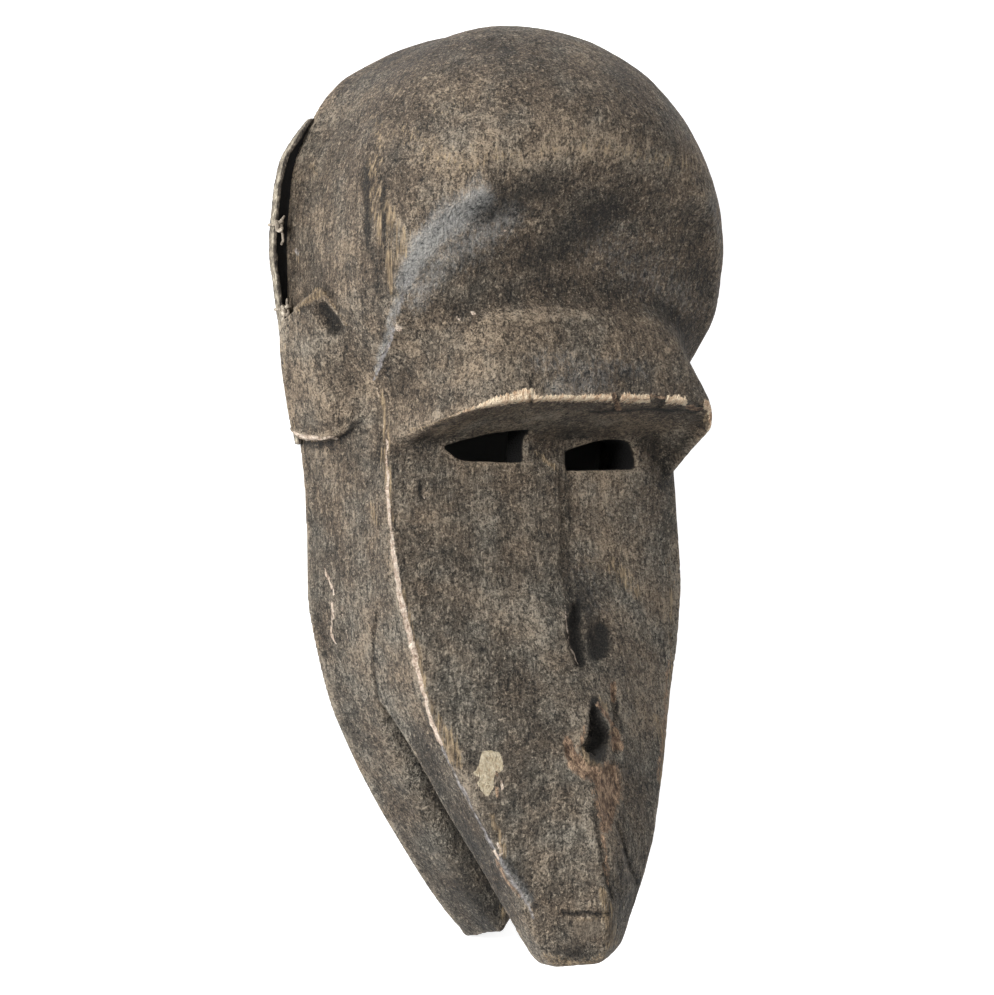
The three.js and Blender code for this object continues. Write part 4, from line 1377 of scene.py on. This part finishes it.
    # Painted shade: the walls of the eye holes nearly black
    colour = f.blend(f.attribute("hole"), colour, (0.0035, 0.003, 0.0025))
    f.feed(f.shader.inputs["Base Color"], colour)

    rough = f.total((1.0, 0.50), (fine, 0.25), (patches, 0.20))
    f.feed(f.shader.inputs["Roughness"], rough)
    f.shader.inputs["Specular IOR Level"].default_value = 0.3
    height = f.total(
        (fine, 0.9), (grit, 0.8), (streaks, 0.4), (flakes, 0.14), (fissures, -0.25), (net, -0.18),
        (scratches, 0.14),
    )
    f.bump(height, distance=3.2)
    return f.material


def hide_finish():
    """Hairy hide with painted light and shade: darker on top, paler on its outer side where light
    catches it, and nearly black at the foot as painted shadow.
    """
    f = Finish("old_hide")
    hairs = f.noise(0.9, detail=3, roughness=0.7, places=f.stretched(1, 0.35, 1))
    patches = f.noise(5, detail=4, roughness=0.6)
    value = f.total((1.0, -0.85), (hairs, 1.5), (patches, 1.1))
    top = f.shades(
        value,
        (0.22, (0.010, 0.008, 0.006)), (0.5, (0.070, 0.056, 0.042)), (0.76, (0.22, 0.185, 0.14)),
    )
    side = f.shades(
        value,
        (0.20, (0.055, 0.045, 0.033)), (0.48, (0.21, 0.18, 0.135)), (0.80, (0.46, 0.41, 0.32)),
    )
    # Painted light on the outer side, and painted shadow at the foot
    outer = f.between(f.attribute("outer"), 0.45, 0.8)
    colour = f.blend(outer, top, side)
    colour = f.blend(f.attribute("foot"), colour, (0.005, 0.0045, 0.004))
    f.feed(f.shader.inputs["Base Color"], colour)
    f.shader.inputs["Roughness"].default_value = 0.85
    f.bump(value, distance=0.6, strength=0.9)
    return f.material


def thong_finish():
    f = Finish("pale_thong")
    fibre = f.noise(0.7, detail=3, roughness=0.7)
    patches = f.noise(2.5, detail=3)
    value = f.total((1.0, -0.45), (fibre, 1.0), (patches, 0.9))
    colour = f.shades(
        value,
        (0.2, (0.05, 0.038, 0.028)), (0.5, (0.24, 0.20, 0.155)), (0.8, (0.52, 0.46, 0.37)),
    )
    f.feed(f.shader.inputs["Base Color"], colour)
    f.shader.inputs["Roughness"].default_value = 0.8
    f.bump(value, distance=0.3, strength=0.8)
    return f.material


# Middle and half size, along X and Y, of the floor under the mask's hollow, which is painted dark
# as shade
UNDER_MASK = ((SHIFT[0], 0.089), (SHIFT[1] + 0.066, 0.147))


def floor_finish():
    """Pale floor with a faint glow of its own, but under the mask dark and without a glow: painted
    shade that keeps the hollow and the eye holes dark.
    """
    f = Finish("pale_floor")
    paper = f.noise(40, detail=2)
    axes = f.add("ShaderNodeSeparateXYZ", inputs={0: f.places})
    cubes = []
    for axis, (middle, half) in zip("XY", UNDER_MASK):
        from_middle = f.math("MULTIPLY_ADD", axes.outputs[axis], 1 / half, -middle / half)
        cubes.append(f.math("POWER", f.math("ABSOLUTE", from_middle), 3.0))
    outside = f.between(f.math("ADD", *cubes), 0.99, 1.01)
    pale = f.shades(paper, (0.3, (0.86, 0.86, 0.86)), (0.7, (0.88, 0.88, 0.88)))
    # Painted shade: dark grey under the mask, the pale floor elsewhere
    f.feed(f.shader.inputs["Base Color"], f.blend(outside, (0.2, 0.2, 0.19), pale))
    f.shader.inputs["Roughness"].default_value = 0.9
    f.shader.inputs["Emission Color"].default_value = (1, 1, 1, 1)
    f.feed(f.shader.inputs["Emission Strength"], f.math("MULTIPLY", outside, 0.5))
    return f.material


def finish_piece(piece, node, material):
    piece.data.materials.clear()
    piece.data.materials.append(material)
    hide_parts(node)
    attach(piece, "root")


mask_piece = carved_mask()
colour_marks(mask_piece)
finish_piece(mask_piece, "mask", patinated_wood())
finish_piece(hide_strip(), "hide_strip", hide_finish())
thong_material = thong_finish()
upper_thong = thong(
    "tied_thong_upper", UPPER_KNOT_Y,
    first_end=[(0.6, -1.5, 0.2), (2.2, -4.2, -0.6), (3.2, -7.0, -2.2), (3.0, -8.4, -3.4)],
    second_end=[(0.2, 1.5, 0.4), (1.8, 3.4, 0.6), (2.8, 4.2, -0.4)],
)
finish_piece(upper_thong, "thong_knot_upper", thong_material)
lower_thong = thong(
    "tied_thong_lower", LOWER_KNOT_Y,
    first_end=[(-0.4, -1.6, 0.2), (-1.6, -4.4, 0.2), (-1.0, -6.6, -0.6), (0.4, -5.6, -0.4)],
    second_end=[(0.4, 1.4, 0.3), (0.6, 3.6, 0.2), (1.4, 5.0, -1.2)],
)
finish_piece(lower_thong, "thong_knot_lower", thong_material)

# studio
camera_data = bpy.data.cameras.new("camera")
camera_data.lens = FOCAL_PIXELS * SENSOR / IMAGE_WIDTH
camera_data.sensor_width = SENSOR
camera_data.sensor_fit = "HORIZONTAL"
camera = bpy.data.objects.new("camera", camera_data)
camera.matrix_world = Matrix((
    (image_right.x, image_up.x, towards.x, VIEW_AIM.x + VIEW_DISTANCE * towards.x),
    (image_right.y, image_up.y, towards.y, VIEW_AIM.y + VIEW_DISTANCE * towards.y),
    (image_right.z, image_up.z, towards.z, VIEW_AIM.z + VIEW_DISTANCE * towards.z),
    (0, 0, 0, 1),
))
bpy.context.scene.collection.objects.link(camera)
bpy.context.scene.camera = camera

floor_mesh = bpy.data.meshes.new("floor")
floor_mesh.from_pydata([(-4, -4, 0), (4, -4, 0), (4, 4, 0), (-4, 4, 0)], [], [(0, 1, 2, 3)])
floor_piece = bpy.data.objects.new("floor", floor_mesh)
bpy.context.scene.collection.objects.link(floor_piece)
floor_mesh.materials.append(floor_finish())


def area_light(name, place, size, power):
    data = bpy.data.lights.new(name, "AREA")
    data.shape = "DISK"
    data.size = size
    data.energy = power
    lamp = bpy.data.objects.new(name, data)
    lamp.location = place
    lamp.rotation_euler = (-Vector(place)).to_track_quat("-Z", "Y").to_euler()
    bpy.context.scene.collection.objects.link(lamp)


area_light("key_light", (-1.65, 0.3, 0.75), size=0.7, power=50)
area_light("top_light", (0.5, 0.7, 1.7), size=0.9, power=14)
world = bpy.data.worlds.new("studio")
world.use_nodes = True
world.node_tree.nodes["Background"].inputs["Color"].default_value = (1, 1, 1, 1)
world.node_tree.nodes["Background"].inputs["Strength"].default_value = 0.45
bpy.context.scene.world = world

bpy.context.scene.view_settings.view_transform = "Standard"
